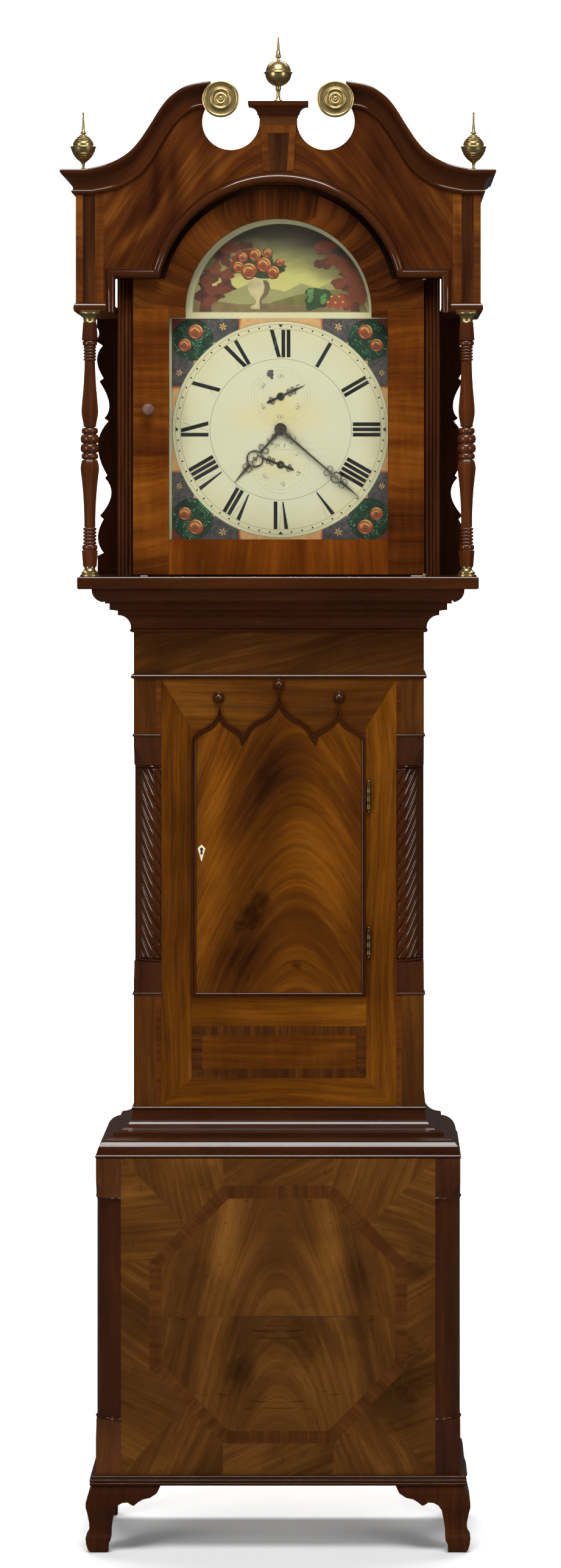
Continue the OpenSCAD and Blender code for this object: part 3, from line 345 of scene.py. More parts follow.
def metal(name, base, dark, rough=0.28, grime=0.5, scale=60.0, metallic=1.0):
    g = Graph(name)
    v = g.coords("Object")
    a = g.noise(v, scale, 5, 0.65)
    b = g.noise(v, scale * 0.18, 3, 0.5)
    f = g.math("MULTIPLY", g.ramp(a, [(0.42, 0.0), (0.75, 1.0)]), grime)
    col = g.mix(f, base, dark)
    col = g.mix(g.math("MULTIPLY", g.ramp(b, [(0.4, 0.0), (0.8, 1.0)]), grime * 0.6), col, dark)
    g.put(g.b.inputs["Base Color"], col)
    g.b.inputs["Metallic"].default_value = metallic
    g.put(g.b.inputs["Roughness"], g.math("MULTIPLY_ADD", a, 0.25, rough - 0.1))
    g.put(g.b.inputs["Normal"], g.bump(a, 0.10, 0.0004))
    return g.m


def paint(name, base, other, rough=0.4, scale=40.0, amount=0.5, coat=0.15, metallic=0.0, stretch=None):
    g = Graph(name)
    v = g.coords("Object")
    if stretch:
        v = g.vec("MULTIPLY", v, stretch)
    a = g.noise(v, scale, 4, 0.6, 0.4)
    col = g.mix(g.math("MULTIPLY", g.ramp(a, [(0.35, 0.0), (0.7, 1.0)]), amount), base, other)
    g.put(g.b.inputs["Base Color"], col)
    g.put(g.b.inputs["Roughness"], g.math("MULTIPLY_ADD", a, 0.15, rough - 0.05))
    g.b.inputs["Metallic"].default_value = metallic
    g.b.inputs["Coat Weight"].default_value = coat
    g.put(g.b.inputs["Normal"], g.bump(a, 0.15, 0.0002))
    return g.m


# mahogany tones, linear
D1, M1, L1 = (0.0167, 0.0037, 0.0012), (0.0585, 0.0150, 0.0027), (0.1309, 0.0410, 0.0060)
D2, M2, L2 = (0.0133, 0.0034, 0.0010), (0.0350, 0.0088, 0.0018), (0.0800, 0.0220, 0.0040)
D3, M3, L3 = (0.0252, 0.0067, 0.0012), (0.0765, 0.0240, 0.0026), (0.1665, 0.0600, 0.0056)
MAT = {}
MAT["hood"] = wood("hood_mahogany", D1, M1, L1, "Z", figure=1.0, fig_scale=1.1, seed=0.3)
FP = [(-0.228, 2.103, 0.010, 0.060, -48, 0.30), (-0.262, 2.140, 0.008, 0.040, -44, 0.22), (-0.186, 2.150, 0.008, 0.050, -22, 0.24),
      (-0.143, 2.200, 0.016, 0.060, -6, 0.22), (-0.165, 2.265, 0.014, 0.045, -10, 0.18), (-0.098, 2.225, 0.012, 0.05, 12, 0.12),
      (-0.196, 2.195, 0.008, 0.055, 0, -0.26), (-0.168, 2.195, 0.007, 0.045, 0, -0.20), (-0.245, 2.070, 0.008, 0.05, -46, -0.14),
      (-0.210, 2.135, 0.012, 0.045, -40, -0.16), (-0.115, 2.265, 0.02, 0.03, 0, -0.14),
      (0.222, 2.112, 0.010, 0.060, 46, 0.07), (0.180, 2.165, 0.010, 0.055, 18, 0.08), (0.140, 2.205, 0.014, 0.055, 8, 0.06),
      (0.255, 2.150, 0.010, 0.045, 40, 0.05), (0.205, 2.150, 0.012, 0.05, 34, -0.10), (0.160, 2.235, 0.016, 0.05, 6, -0.10),
      (0.238, 2.080, 0.010, 0.045, 44, -0.08), (0.110, 2.250, 0.012, 0.04, -6, -0.05)]
MAT["frieze"] = wood("frieze_mahogany", D1, [c * 0.93 for c in M1], L1, "Z", figure=0.62, fig_scale=1.3, streak=0.95, seed=0.3,
                     chevron=(0.0, 0.90, 0.43), soft=0.03, plumes=FP)
MAT["side"] = wood("side_mahogany", D1, [c * 0.8 for c in M1], M1, "Z", figure=0.5, seed=1.7)
MAT["dark"] = wood("moulding_mahogany", D2, M2, L2, "X", figure=0.5, streak=0.4, coat=0.75, spec=0.02,
                   coat_rough=0.11, rough=0.42, seed=2.0, blotch=0.3)
MAT["turned"] = wood("turned_mahogany", D2, M2, L2, "Z", figure=0.5, streak=0.4, coat=0.75, spec=0.02,
                     coat_rough=0.05, rough=0.42, seed=3.0, blotch=0.25)
MAT["pilaster"] = wood("pilaster_mahogany", D2, [c * 1.1 for c in M2], [c * 1.3 for c in L2], "Z", figure=0.4, streak=0.7,
                       coat=0.12, spec=0.02, rough=0.45, seed=3.4, blotch=0.3)
# the wings take the moulding tones halved, as painted shade for the shadow they stand in beside the pilasters
MAT["wing"] = wood("wing_mahogany", [c * 0.5 for c in D2], [c * 0.55 for c in M2], [c * 0.7 for c in L2], "Z", figure=0.4,
                   streak=0.5, coat=0.12, spec=0.02, rough=0.45, seed=3.6, blotch=0.3)
MAT["column"] = wood("column_mahogany", D2, [c * 1.8 for c in M2], [c * 1.7 for c in L2], "Z", figure=0.5, streak=0.6,
                     coat=0.7, spec=0.02, coat_rough=0.20, rough=0.42, seed=3.8, blotch=0.25, wave=0.02)
MAT["knob"] = wood("knob_wood", (0.045, 0.019, 0.014), (0.140, 0.070, 0.056), (0.250, 0.140, 0.112), "Z", figure=0.6,
                   streak=0.7, coat=0.1, coat_rough=0.3, spec=0.2, rough=0.5, seed=3.9, blotch=0.3)
MAT["trunk"] = wood("trunk_mahogany", D3, M3, L3, "Z", figure=0.8, streak=0.7, seed=4.0)
MAT["door"] = wood("door_flame_mahogany", (0.0190, 0.0052, 0.0013), (0.0770, 0.0220, 0.0020), (0.1900, 0.0610, 0.0045),
                   "Z", figure=0.52, fig_scale=1.25, streak=0.75, chevron=(0.030, 0.93, 0.36), soft=0.008, seed=5.0, blotch=0.4,
                   plumes=[(-0.112, 1.06, 0.022, 0.15, -4, 0.24), (-0.100, 1.235, 0.022, 0.050, -14, 0.12),
                           (0.084, 1.05, 0.024, 0.12, 14, 0.20), (0.074, 1.230, 0.026, 0.060, 18, 0.16),
                           (0.030, 1.15, 0.030, 0.05, 8, 0.08), (0.020, 0.985, 0.03, 0.05, 20, 0.06),
                           (-0.030, 1.19, 0.040, 0.13, -10, -0.20), (-0.062, 0.935, 0.036, 0.055, -32, -0.24),
                           (0.124, 1.16, 0.016, 0.15, 0, -0.10), (-0.045, 1.27, 0.06, 0.035, 0, -0.10)],
                   zdark=[(-0.046, 1.008, 0.024, 0.72), (-0.030, 1.036, 0.018, 0.68), (-0.062, 0.992, 0.014, 0.6),
                          (0.030, 0.931, 0.010, 0.6)])
MAT["block"] = wood("block_mahogany", D1, [c * 0.8 for c in M1], [c * 0.8 for c in L1], "Z",
                    figure=0.9, coat=0.6, coat_rough=0.12, spec=0.1, seed=6.0)
MAT["base"] = wood("base_mahogany", D3, M3, [c * 0.9 for c in L3], "Z", figure=1.0, streak=0.7, seed=7.0,
                   blotch=0.5, scratches=0.5)
MAT["oak"] = wood("oak_board", (0.10, 0.055, 0.025), (0.24, 0.145, 0.070), (0.36, 0.235, 0.125), "Z",
                  figure=0.5, coat=0.0, rough=0.6, seed=8.0, blotch=0.3)
MAT["foot"] = wood("foot_mahogany", D2, [c * 0.95 for c in M2], [c * 1.1 for c in L2], "Z", figure=0.6,
                   coat=0.75, spec=0.02, rough=0.28, seed=9.0)
MAT["brass_old"] = metal("antique_brass", (0.44, 0.325, 0.135), (0.11, 0.080, 0.032), 0.28, 0.75, 90, 0.9)
MAT["brass_dull"] = metal("dull_brass", (0.20, 0.145, 0.06), (0.045, 0.032, 0.014), 0.32, 0.85, 140)
MAT["brass"] = metal("movement_brass", (0.62, 0.45, 0.18), (0.30, 0.2, 0.08), 0.25, 0.4, 60)
MAT["steel"] = metal("steel", (0.22, 0.20, 0.175), (0.06, 0.05, 0.045), 0.35, 0.7, 220)
MAT["bell"] = metal("bell_metal", (0.50, 0.38, 0.19), (0.2, 0.14, 0.07), 0.22, 0.4, 40)
MAT["iron"] = metal("cast_iron", (0.055, 0.05, 0.046), (0.02, 0.018, 0.016), 0.6, 0.7, 50, 0.6)
MAT["lead"] = metal("lead", (0.12, 0.12, 0.125), (0.06, 0.06, 0.062), 0.55, 0.5, 60, 0.7)
MAT["bone"] = paint("bone", (0.74, 0.66, 0.47), (0.5, 0.40, 0.24), 0.3, 260, 0.6, 0.4)
g = Graph("hood_glass")
g.b.inputs["Base Color"].default_value = (0.97, 0.99, 0.98, 1)
g.b.inputs["Roughness"].default_value = 0.015
g.b.inputs["Transmission Weight"].default_value = 1.0
g.b.inputs["IOR"].default_value = 1.1
g.put(g.b.inputs["Roughness"], g.math("MULTIPLY", g.noise(g.coords(), 9.0, 2), 0.03))
MAT["glass"] = g.m

use = {}
for k in ("hood_carcass",): use[k] = "side"
for k in ("base_side_panels", "trunk_side_panels"): use[k] = "side"
for k in ("hood_side_friezes", "hood_door_frame"): use[k] = "hood"
use["hood_frieze"] = "frieze"
for k in ("corner_blocks",): use[k] = "block"
for k in ("plinth_moulding", "waist_moulding", "throat_moulding", "trunk_trim", "trunk_door_moulding",
          "arch_bead", "cornice_moulding", "pedestal", "hood_slab"): use[k] = "dark"
for k in ("base_quarter_columns", "trunk_quarter_columns"): use[k] = "turned"
use["hood_pilasters"] = "pilaster"; use["hood_wings"] = "wing"; use["hood_columns"] = "column"
use["hood_door_knob"] = "knob"
use["bracket_feet"] = "foot"
use["trunk_front_frame"] = "trunk"; use["trunk_door"] = "door"; use["base_front_panel"] = "base"
for k in ("backboard", "seat_board"): use[k] = "oak"
use["hood_mask"] = "block"
for k in ("trunk_hinges", "door_fittings"): use[k] = "brass_dull"
for k in ("brass_roundels", "brass_finials", "column_brasses",
          "hood_door_pivots"): use[k] = "brass_old"
for k in ("movement_frame", "minute_wheel", "great_wheel", "second_wheel", "escape_wheel",
          "strike_great_wheel", "pin_wheel", "warning_wheel", "strike_fly", "weight_pulley",
          "pendulum"): use[k] = "brass"
for k in ("hour_hand", "minute_hand", "seconds_hand", "date_hand", "anchor", "hammer", "lock_bolt",
          "chain"): use[k] = "steel"
use["bell"] = "bell"; use["hood_door_glass"] = "glass"; use["escutcheon"] = "bone"
use["driving_weight"] = "iron"; use["chain_counterweight"] = "lead"; use["dial_plate"] = "brass"
for k, o in N.items():
    o.data.materials.clear()
    o.data.materials.append(MAT[use[k]])
# ------------------------------------------------------------------ meshes
MM = 0.001


def add(name, verts, faces, mat, body, slot, smooth=None, uvf=None, stage=False):
    """A piece from vertices in mm. smooth is the largest angle, in degrees, that is
    shaded as one surface."""
    me = bpy.data.meshes.new(name)
    me.from_pydata([(v[0] * MM, v[1] * MM, v[2] * MM) for v in verts], [], faces)
    if uvf is not None:
        lay = me.uv_layers.new(name="UVMap")
        k = 0
        for f in uvf:
            for uv in f:
                lay.data[k].uv = (uv[0] * MM, uv[1] * MM)
                k += 1
    me.materials.append(mat)
    o = bpy.data.objects.new(name, me)
    S.collection.objects.link(o)
    if smooth is not None:
        for p in me.polygons:
            p.use_smooth = True
        me.set_sharp_from_angle(angle=math.radians(smooth))
    me.update()
    if stage:
        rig.stage(o)
    else:
        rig.ride(o, body)
        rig.slot(o, slot)
    return o


def loft(rows, closed_u=False, caps=True, wrap=True):
    """rows: lists of points of the same length, each a loop round the section.
    Gives (verts, faces, uvf). u runs along the rows and v round the section."""
    n, m = len(rows), len(rows[0])
    verts = [p for r in rows for p in r]
    us = [0.0]
    for i in range(1, n + (1 if closed_u else 0)):
        a, b = rows[i - 1], rows[i % n]
        us.append(us[-1] + sum(math.dist(a[j], b[j]) for j in range(0, m, max(1, m // 6)))
                  / len(range(0, m, max(1, m // 6))))
    vs = [0.0]
    mid = rows[n // 2]
    for j in range(1, m + 1):
        vs.append(vs[-1] + math.dist(mid[j - 1], mid[j % m]))
    faces, uvf = [], []
    for i in range(n if closed_u else n - 1):
        for j in range(m if wrap else m - 1):
            i2, j2 = (i + 1) % n, (j + 1) % m
            faces.append((i * m + j, i * m + j2, i2 * m + j2, i2 * m + j))
            uvf.append(((us[i], vs[j]), (us[i], vs[j + 1]), (us[i + 1], vs[j + 1]), (us[i + 1], vs[j])))
    if caps and not closed_u:
        faces.append(tuple(reversed(range(m))))
        uvf.append([(0, vs[j]) for j in reversed(range(m))])
        faces.append(tuple((n - 1) * m + j for j in range(m)))
        uvf.append([(us[-1], vs[j]) for j in range(m)])
    return verts, faces, uvf


def join(parts):
    V, F, U = [], [], []
    for v, f, u in parts:
        k = len(V)
        V += list(v)
        F += [tuple(i + k for i in q) for q in f]
        U += list(u)
    return V, F, U


def mitres(path, closed):
    """Unit-offset vectors, to the left of the path, of a polyline in the x/z plane."""
    n = len(path)
    out = []
    for i in range(n):
        ns = []
        for a, b in ((i - 1, i), (i, i + 1)):
            if not closed and (a < 0 or b >= n):
                continue
            p, q = path[a % n], path[b % n]
            dx, dz = q[0] - p[0], q[1] - p[1]
            l = math.hypot(dx, dz) or 1.0
            ns.append((-dz / l, dx / l))
        if len(ns) == 1:
            out.append(ns[0])
        else:
            a, b = ns
            k = 1 + a[0] * b[0] + a[1] * b[1]
            out.append(((a[0] + b[0]) / max(k, 0.2), (a[1] + b[1]) / max(k, 0.2)))
    return out


def sweep(path, prof, y0, closed=False):
    """A section (offset to the left of the path, height in front of y0) along a path
    in the x/z plane."""
    rows = []
    for p, m in zip(path, mitres(path, closed)):
        rows.append([(p[0] + a * m[0], y0 - b, p[1] + a * m[1]) for a, b in prof])
    return loft(rows, closed_u=closed)


def arcpts(cx, cz, r, a0, a1, n):
    return [(cx + r * math.cos(math.radians(a0 + (a1 - a0) * i / n)),
             cz + r * math.sin(math.radians(a0 + (a1 - a0) * i / n))) for i in range(n + 1)]


def lathe(prof, cx, cy, seg=64, z0=0.0, axis="Z", turn=0.0, rfun=None):
    """A turned solid: prof is (radius, height) from one end to the other."""
    rows = []
    for r, z in prof:
        row = []
        for k in range(seg):
            a = 2 * math.pi * (k + turn) / seg
            rr = rfun(r, z, a) if rfun else r
            if axis == "Z":
                row.append((cx + rr * math.cos(a), cy + rr * math.sin(a), z0 + z))
            else:   # turned about -Y; cy is the height, z0 the plane it stands on
                row.append((cx + rr * math.cos(a), z0 - z, cy + rr * math.sin(a)))
        rows.append(row)
    if axis == "Z":
        return loft(rows)
    v, f, u = loft(rows)
    return v, f, u


def plate(outer, y, t, holes=(), grain=0.0, radial=None, uoff=0.0, voff=0.0):
    """A thin plate in the x/z plane, its front at y and t thick. grain is the angle of
    the grain from the vertical, and radial a centre that it runs out from."""
    loops = [outer] + list(holes)
    tri = __import__("mathutils").geometry.tessellate_polygon(
        [[Vector((p[0], p[1], 0)) for p in l] for l in loops])
    flat = [p for l in loops for p in l]
    n = len(flat)
    verts = [(p[0], y, p[1]) for p in flat] + [(p[0], y + t, p[1]) for p in flat]
    ca, sa = math.cos(math.radians(grain)), math.sin(math.radians(grain))

    def uv(i):
        p = flat[i % n]
        if radial:
            dx, dz = p[0] - radial[0], p[1] - radial[1]
            return (math.hypot(dx, dz) + uoff, math.atan2(dx, dz) * 170 + voff)
        return (p[1] * ca + p[0] * sa + uoff, p[0] * ca - p[1] * sa + voff)
    faces, uvf = [], []
    for a, b, c in tri:
        A, B, C = flat[a], flat[b], flat[c]
        s = (B[0] - A[0]) * (C[1] - A[1]) - (B[1] - A[1]) * (C[0] - A[0])
        if abs(s) < 1e-9:
            continue
        q = (a, b, c) if s > 0 else (a, c, b)     # seen from -y, x right and z up
        faces.append(q)
        uvf.append([uv(i) for i in q])
        q = tuple(i + n for i in reversed(q))
        faces.append(q)
        uvf.append([uv(i) for i in q])
    k = 0
    for l in loops:
        m = len(l)
        area = sum(l[i][0] * l[(i + 1) % m][1] - l[(i + 1) % m][0] * l[i][1] for i in range(m))
        hole = l is not loops[0]
        for i in range(m):
            a, b = k + i, k + (i + 1) % m
            if (area > 0) != hole:
                q = (b, a, a + n, b + n)
            else:
                q = (a, b, b + n, a + n)
            faces.append(q)
            uvf.append([uv(j) for j in q])
        k += m
    return verts, faces, uvf


def smoothed(pts, n):
    """Catmull-Rom through the points, n steps a span."""
    out = []
    for i in range(len(pts) - 1):
        p0, p1, p2, p3 = pts[max(i - 1, 0)], pts[i], pts[i + 1], pts[min(i + 2, len(pts) - 1)]
        for k in range(n):
            t = k / n
            out.append(tuple(0.5 * (2 * p1[d] + (p2[d] - p0[d]) * t + (2 * p0[d] - 5 * p1[d] + 4 * p2[d] - p3[d]) * t * t
                                    + (3 * p1[d] - p0[d] - 3 * p2[d] + p3[d]) * t ** 3) for d in range(2)))
    out.append(tuple(pts[-1]))
    return out


# ------------------------------------------------------------------ UV woods
def uvwood(name, tone, seed, **kw):
    d, m, l = tone
    return wood(name, d, m, l, "UV", seed=seed, **kw)


DARK = (D2, M2, L2)
HOOD = (D1, M1, L1)
STILE = ((0.0306, 0.0080, 0.0010), (0.1020, 0.0305, 0.0022), (0.2025, 0.0700, 0.0045))
BASE = ((0.0260, 0.0090, 0.0022), (0.0790, 0.0285, 0.0052), (0.1720, 0.0690, 0.0120))
CROSS = ((0.0208, 0.0054, 0.0014), (0.0720, 0.0195, 0.0034), (0.1440, 0.0465, 0.0065))
MAT["uvdark"] = uvwood("swept_mahogany", DARK, 11.0, figure=0.4, streak=0.35, coat=0.75, spec=0.02, coat_rough=0.05,
                       rough=0.42, blotch=0.2, pore=0.3)
MAT["uvhood"] = uvwood("veneer_hood", HOOD, 12.0, figure=1.1, fig_scale=1.0)
MAT["uvstile"] = uvwood("veneer_stile", STILE, 13.0, figure=0.7, streak=0.9)
MAT["uvbase"] = uvwood("veneer_base", BASE, 14.0, figure=0.8, streak=0.75, blotch=0.5, scratches=0.6,
                     zdark=[(0.212, 0.290, 0.055, 0.5), (0.180, 0.235, 0.05, 0.45), (0.215, 0.455, 0.030, 0.35), (-0.12, 0.600, 0.03, 0.3),
                            (0.01, 0.155, 0.05, 0.25)])
MAT["uvbase2"] = uvwood("veneer_base_side", BASE, 15.0, figure=0.8, streak=0.75, blotch=0.5, scratches=0.6,
                     zdark=[(0.212, 0.290, 0.055, 0.5), (0.180, 0.235, 0.05, 0.45), (0.215, 0.455, 0.030, 0.35), (-0.12, 0.600, 0.03, 0.3),
                            (0.01, 0.155, 0.05, 0.25)])
MAT["uvcross"] = uvwood("veneer_crossband", CROSS, 16.0, figure=0.7, streak=0.8, fiddle=0.4)
MAT["uvred"] = uvwood("veneer_red_crossband", ((0.018, 0.0054, 0.0016), (0.052, 0.0155, 0.0030), (0.096, 0.0320, 0.0056)),
                      17.0, figure=0.3, streak=1.2, fiddle=0.3)
MAT["uvband"] = uvwood("veneer_base_crossband", ((0.024, 0.0075, 0.0020), (0.062, 0.0200, 0.0042), (0.108, 0.0380, 0.0072)),
                       17.0, figure=0.3, streak=0.95, fiddle=0.3)

FIELD_PLUMES = dict(plumes=[(-0.084, 0.50, 0.030, 0.09, -6, 0.22), (-0.092, 0.36, 0.022, 0.10, 0, 0.14), (0.090, 0.44, 0.026, 0.08, 10, 0.26),
                           (0.075, 0.30, 0.03, 0.08, 8, 0.12), (0.0, 0.50, 0.03, 0.06, 0, -0.14), (-0.060, 0.28, 0.028, 0.08, 0, -0.24),
                           (0.122, 0.43, 0.022, 0.05, 0, -0.24), (-0.15, 0.40, 0.03, 0.09, 0, -0.10)],
                    zdark=[(-0.062, 0.285, 0.030, 0.45), (0.02, 0.33, 0.05, 0.30), (0.13, 0.36, 0.03, 0.3)])
MAT["basefield"] = wood("veneer_base_field", BASE[0], BASE[1], BASE[2], "UV", seed=21.0, figure=0.55, fig_scale=0.9, streak=0.7,
                        blotch=0.55, scratches=0.7, chevron=(0.0, 0.97, 0.20), soft=0.009, **FIELD_PLUMES)
MAT["basefield2"] = wood("veneer_base_field_2", BASE[0], [c * 0.88 for c in BASE[1]], [c * 0.86 for c in BASE[2]], "UV", seed=21.4,
                         figure=0.55, fig_scale=0.9, streak=0.7, blotch=0.6, scratches=0.7, chevron=(0.0, 0.97, 0.20),
                         soft=0.009, **FIELD_PLUMES)
MAT["uvpanel"] = uvwood("veneer_panel", [[q[0] * 0.78, q[1] * 0.72, q[2] * 0.9] for q in STILE], 31.0, figure=1.2, streak=0.8, fiddle=0.2)
MAT["uvstile2"] = uvwood("veneer_rail", STILE, 23.0, figure=0.8, streak=0.9)
MAT["uvrail"] = uvwood("veneer_top_rail", ((0.0240, 0.0068, 0.0013), (0.0740, 0.0229, 0.0031), (0.1550, 0.0544, 0.0060)), 24.0, figure=0.9, streak=0.8)
MAT["uvfrieze"] = uvwood("veneer_trunk_frieze", ((0.0142, 0.0045, 0.0013), (0.0551, 0.0180, 0.0034), (0.1330, 0.0484, 0.0078)), 25.0, figure=1.3, streak=0.6)
MAT["uvblock"] = uvwood("veneer_block", ((0.0200, 0.0058, 0.0016), (0.0560, 0.0175, 0.0032), (0.1120, 0.0391, 0.0063)), 26.0, figure=0.8, streak=0.8)
MAT["uvdoor"] = uvwood("veneer_hood_door", ((0.0233, 0.0052, 0.0011), (0.0800, 0.0196, 0.0022), (0.1720, 0.0520, 0.0050)), 27.0, figure=1.1, streak=0.7, fiddle=0.3)
MAT["uvdoor2"] = uvwood("veneer_hood_door_rail", ((0.0350, 0.0080, 0.0012), (0.1090, 0.0262, 0.0024), (0.2300, 0.0660, 0.0050)), 28.0, figure=0.9, streak=0.7)
# the arch veneer is toned darker than the stiles' veneer and carries painted shade: three dark plumes trace the top of
# the arch, under the frieze's arch bead
MAT["uvarch"] = uvwood("veneer_hood_door_arch", ((0.0190, 0.0047, 0.0012), (0.0640, 0.0170, 0.0026), (0.1360, 0.0430, 0.0060)), 29.0, figure=1.1, streak=0.9,
                       plumes=[(0.0, 2.17, 0.16, 0.030, 0, -0.22), (-0.10, 2.14, 0.07, 0.03, 35, -0.10), (0.10, 2.14, 0.07, 0.03, -35, -0.10)])
MAT["uvkey"] = uvwood("veneer_keystone", ((0.016, 0.0048, 0.0018), (0.052, 0.0165, 0.0046), (0.105, 0.0360, 0.0088)), 30.0, figure=1.2, streak=0.6)
MAT["crack"] = paint("veneer_split", (0.010, 0.005, 0.003), (0.02, 0.01, 0.006), 0.8, 80, 0.5, 0.0)

# ------------------------------------------------------------------ rope columns
ROPE_R, ROPE_N, LEAD = 42.0, 18, 385.0


def rope(side):
    cx, cy = side * 189.0, (YT + 0.044) * 1000
    z0, z1, nz, na = 938.9, 1248.1, 250, 132
    rows = []
    for i in range(nz + 1):
        z = z0 + (z1 - z0) * i / nz
        row = []
        for k in range(na + 1):
            a = math.radians(-1.0 + 92.0 * k / na)       # 0 faces the front, 90 outward
            ph = (a / (2 * math.pi) * ROPE_N - (z - z0) / LEAD * ROPE_N) % 1.0
            t = 2 * ph - 1
            lobe = math.sqrt(max(0.0, 1 - abs(t) ** 2.6))
            r = ROPE_R - 4.2 * (1 - lobe)
            end = min(z - z0, z1 - z)
            r -= 2.2 * max(0.0, 1 - end / 3.0) ** 2
            row.append((cx + side * r * math.sin(a), cy - r * math.cos(a), z))
        row.append((cx, cy, z))
        if side > 0:
            row.reverse()
        rows.append(row)
    return loft(rows)


def ring_quarter(side, z0, z1, r):
    prof = [(r - 3, z0), (r - 1, z0 + 0.15), (r, (z0 + z1) / 2 - 0.6), (r, (z0 + z1) / 2 + 0.6), (r - 1, z1 - 0.15),
            (r - 3, z1)]
    cx, cy = side * 189.0, (YT + 0.044) * 1000
    rows = []
    for k in range(41):
        a = math.radians(-1.0 + 92.0 * k / 40)
        row = [(cx + side * q * math.sin(a), cy - q * math.cos(a), z) for q, z in prof] + [(cx, cy, z1), (cx, cy, z0)]
        if side > 0:
            row.reverse()
        rows.append(row)
    return loft(rows)


for side, nm in ((-1, "left"), (1, "right")):
    v, f, u = rope(side)
    o = add("rope_column_" + nm, v, f, MAT["turned"], "case", "dark_mahogany", smooth=50)
    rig.replaces(o, "trunk_quarter_columns")
    v, f, u = join([ring_quarter(side, 935.1, 938.9, 44), ring_quarter(side, 1248.1, 1251.9, 44)])
    add("rope_rings_" + nm, v, f, MAT["turned"], "case", "dark_mahogany", smooth=40)

# ------------------------------------------------------------------ hood columns
C8 = math.cos(math.pi / 8)


def octa(r, z, a):
    s = math.pi / 4
    b = (a + s / 2) % s - s / 2
    return r / math.cos(b)


def rings_prof(n, z0, z1, r0, r1):
    out = [(r0, z0)]
    h = (z1 - z0) / n
    for i in range(n):
        for k in range(13):
            t = math.pi * k / 12
            out.append((r0 + (r1 - r0) * math.sin(t), z0 + h * i + h * 0.5 * (1 - math.cos(t) * 0.94)))
    out.append((r0, z1))
    return out


def column(side):
    cx, cy = side * 301.0, (YT - 0.050) * 1000
    o8 = dict(seg=64, rfun=octa)
    P = [
        lathe([(6, 1572.2), (10.7, 1572.2), (12.6, 1597.9), (11.9, 1598.6), (6, 1598.6)], cx, cy, **o8),
        lathe([(6, 1598.6)] + rings_prof(1, 1598.6, 1607.5, 10.4, 12.3) + [(6, 1607.5)], cx, cy),
        lathe([(6, 1607.5)] + rings_prof(5, 1607.5, 1635.2, 8.0, 10.9) + [(6, 1635.2)], cx, cy),
        lathe([(6, 1635.2), (8.8, 1635.6)] + smoothed([(8.8, 1651), (9.6, 1672), (11.3, 1698), (13.9, 1722),
              (14.6, 1730), (13.4, 1738), (11.7, 1743)], 4) + [(6, 1743.4)], cx, cy, **o8),
        lathe([(6, 1743.4)] + rings_prof(1, 1743.4, 1754, 10.0, 13.5) + rings_prof(2, 1754, 1784, 10.8, 15.0)
              + rings_prof(1, 1784, 1794.5, 10.0, 13.3) + [(6, 1794.5)], cx, cy),
        lathe([(6, 1794.5), (9.7, 1796)] + smoothed([(10.4, 1802), (12.2, 1811), (13.1, 1820), (12.3, 1834),
              (10.2, 1858), (8.9, 1880), (8.3, 1900.6)], 4) + [(6, 1901)], cx, cy, **o8),
        lathe([(6, 1901)] + rings_prof(5, 1901, 1925.4, 7.8, 10.4) + [(6, 1925.4)], cx, cy),
        lathe([(6, 1925.4)] + rings_prof(1, 1925.4, 1933.6, 10.1, 11.9) + [(6, 1933.6)], cx, cy),
        lathe([(6, 1933.6), (11.9, 1934), (12.6, 1935), (10.7, 1961.6), (6, 1961.6)], cx, cy, **o8),
    ]
    return join(P)


for side, nm in ((-1, "left"), (1, "right")):
    v, f, u = column(side)
    o = add("hood_column_" + nm, v, f, MAT["column"], "hood", "dark_mahogany", smooth=40)
    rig.replaces(o, "hood_columns")
    cx, cy = side * 301.0, (YT - 0.050) * 1000
    v, f, u = join([
        lathe([(4, 1556.8), (15.6, 1556.8), (15.8, 1558), (15.4, 1559.5), (13.4, 1560.2), (12.9, 1561),
               (13.8, 1562), (13.8, 1563.2), (12.4, 1564.2), (10.6, 1565.6), (8.9, 1568), (8.5, 1570),
               (9.6, 1571), (9.6, 1572.1), (4, 1572.1)], cx, cy),
        lathe([(4, 1961.7), (10.2, 1961.7), (10.9, 1962.6), (10.2, 1963.6), (10.0, 1965), (10.8, 1969), (12.0, 1973),
               (13.2, 1974.6), (16.2, 1975.2), (16.8, 1976), (16.8, 1978.2), (16.2, 1978.8), (4, 1978.8)], cx, cy)])
    o = add("column_brasses_" + nm, v, f, MAT["brass_old"], "hood", "antique_brass", smooth=40)
    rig.replaces(o, "column_brasses")

# ------------------------------------------------------------------ cornice
top = [(308, 2207), (270, 2216), (242, 2231), (223, 2250), (204, 2278), (185, 2308), (167, 2327), (143, 2341), (108, 2347.5)]
low = [(297, 2167), (256, 2176), (226, 2193), (206, 2214), (188, 2243), (169, 2273), (149, 2293), (132, 2303), (108, 2306.5)]
TS, LS = smoothed(top, 8), smoothed(low, 8)
CORN = [(0.0, 0.0), (0.0, 22.6), (0.02, 23.5), (0.06, 24.0), (0.11, 24.0), (0.16, 23.3), (0.195, 22.0), (0.215, 20.3),
        (0.222, 18.9), (0.25, 18.6), (0.27, 18.4), (0.275, 17.6), (0.30, 15.4), (0.35, 12.2), (0.42, 9.3), (0.51, 7.0), (0.62, 5.3),
        (0.74, 4.4), (0.79, 4.2), (0.795, 5.2), (0.82, 6.4), (0.86, 7.0), (0.90, 6.7), (0.935, 5.6), (0.945, 4.2), (0.955, 3.0),
        (1.0, 0.3), (1.0, 0.0)]


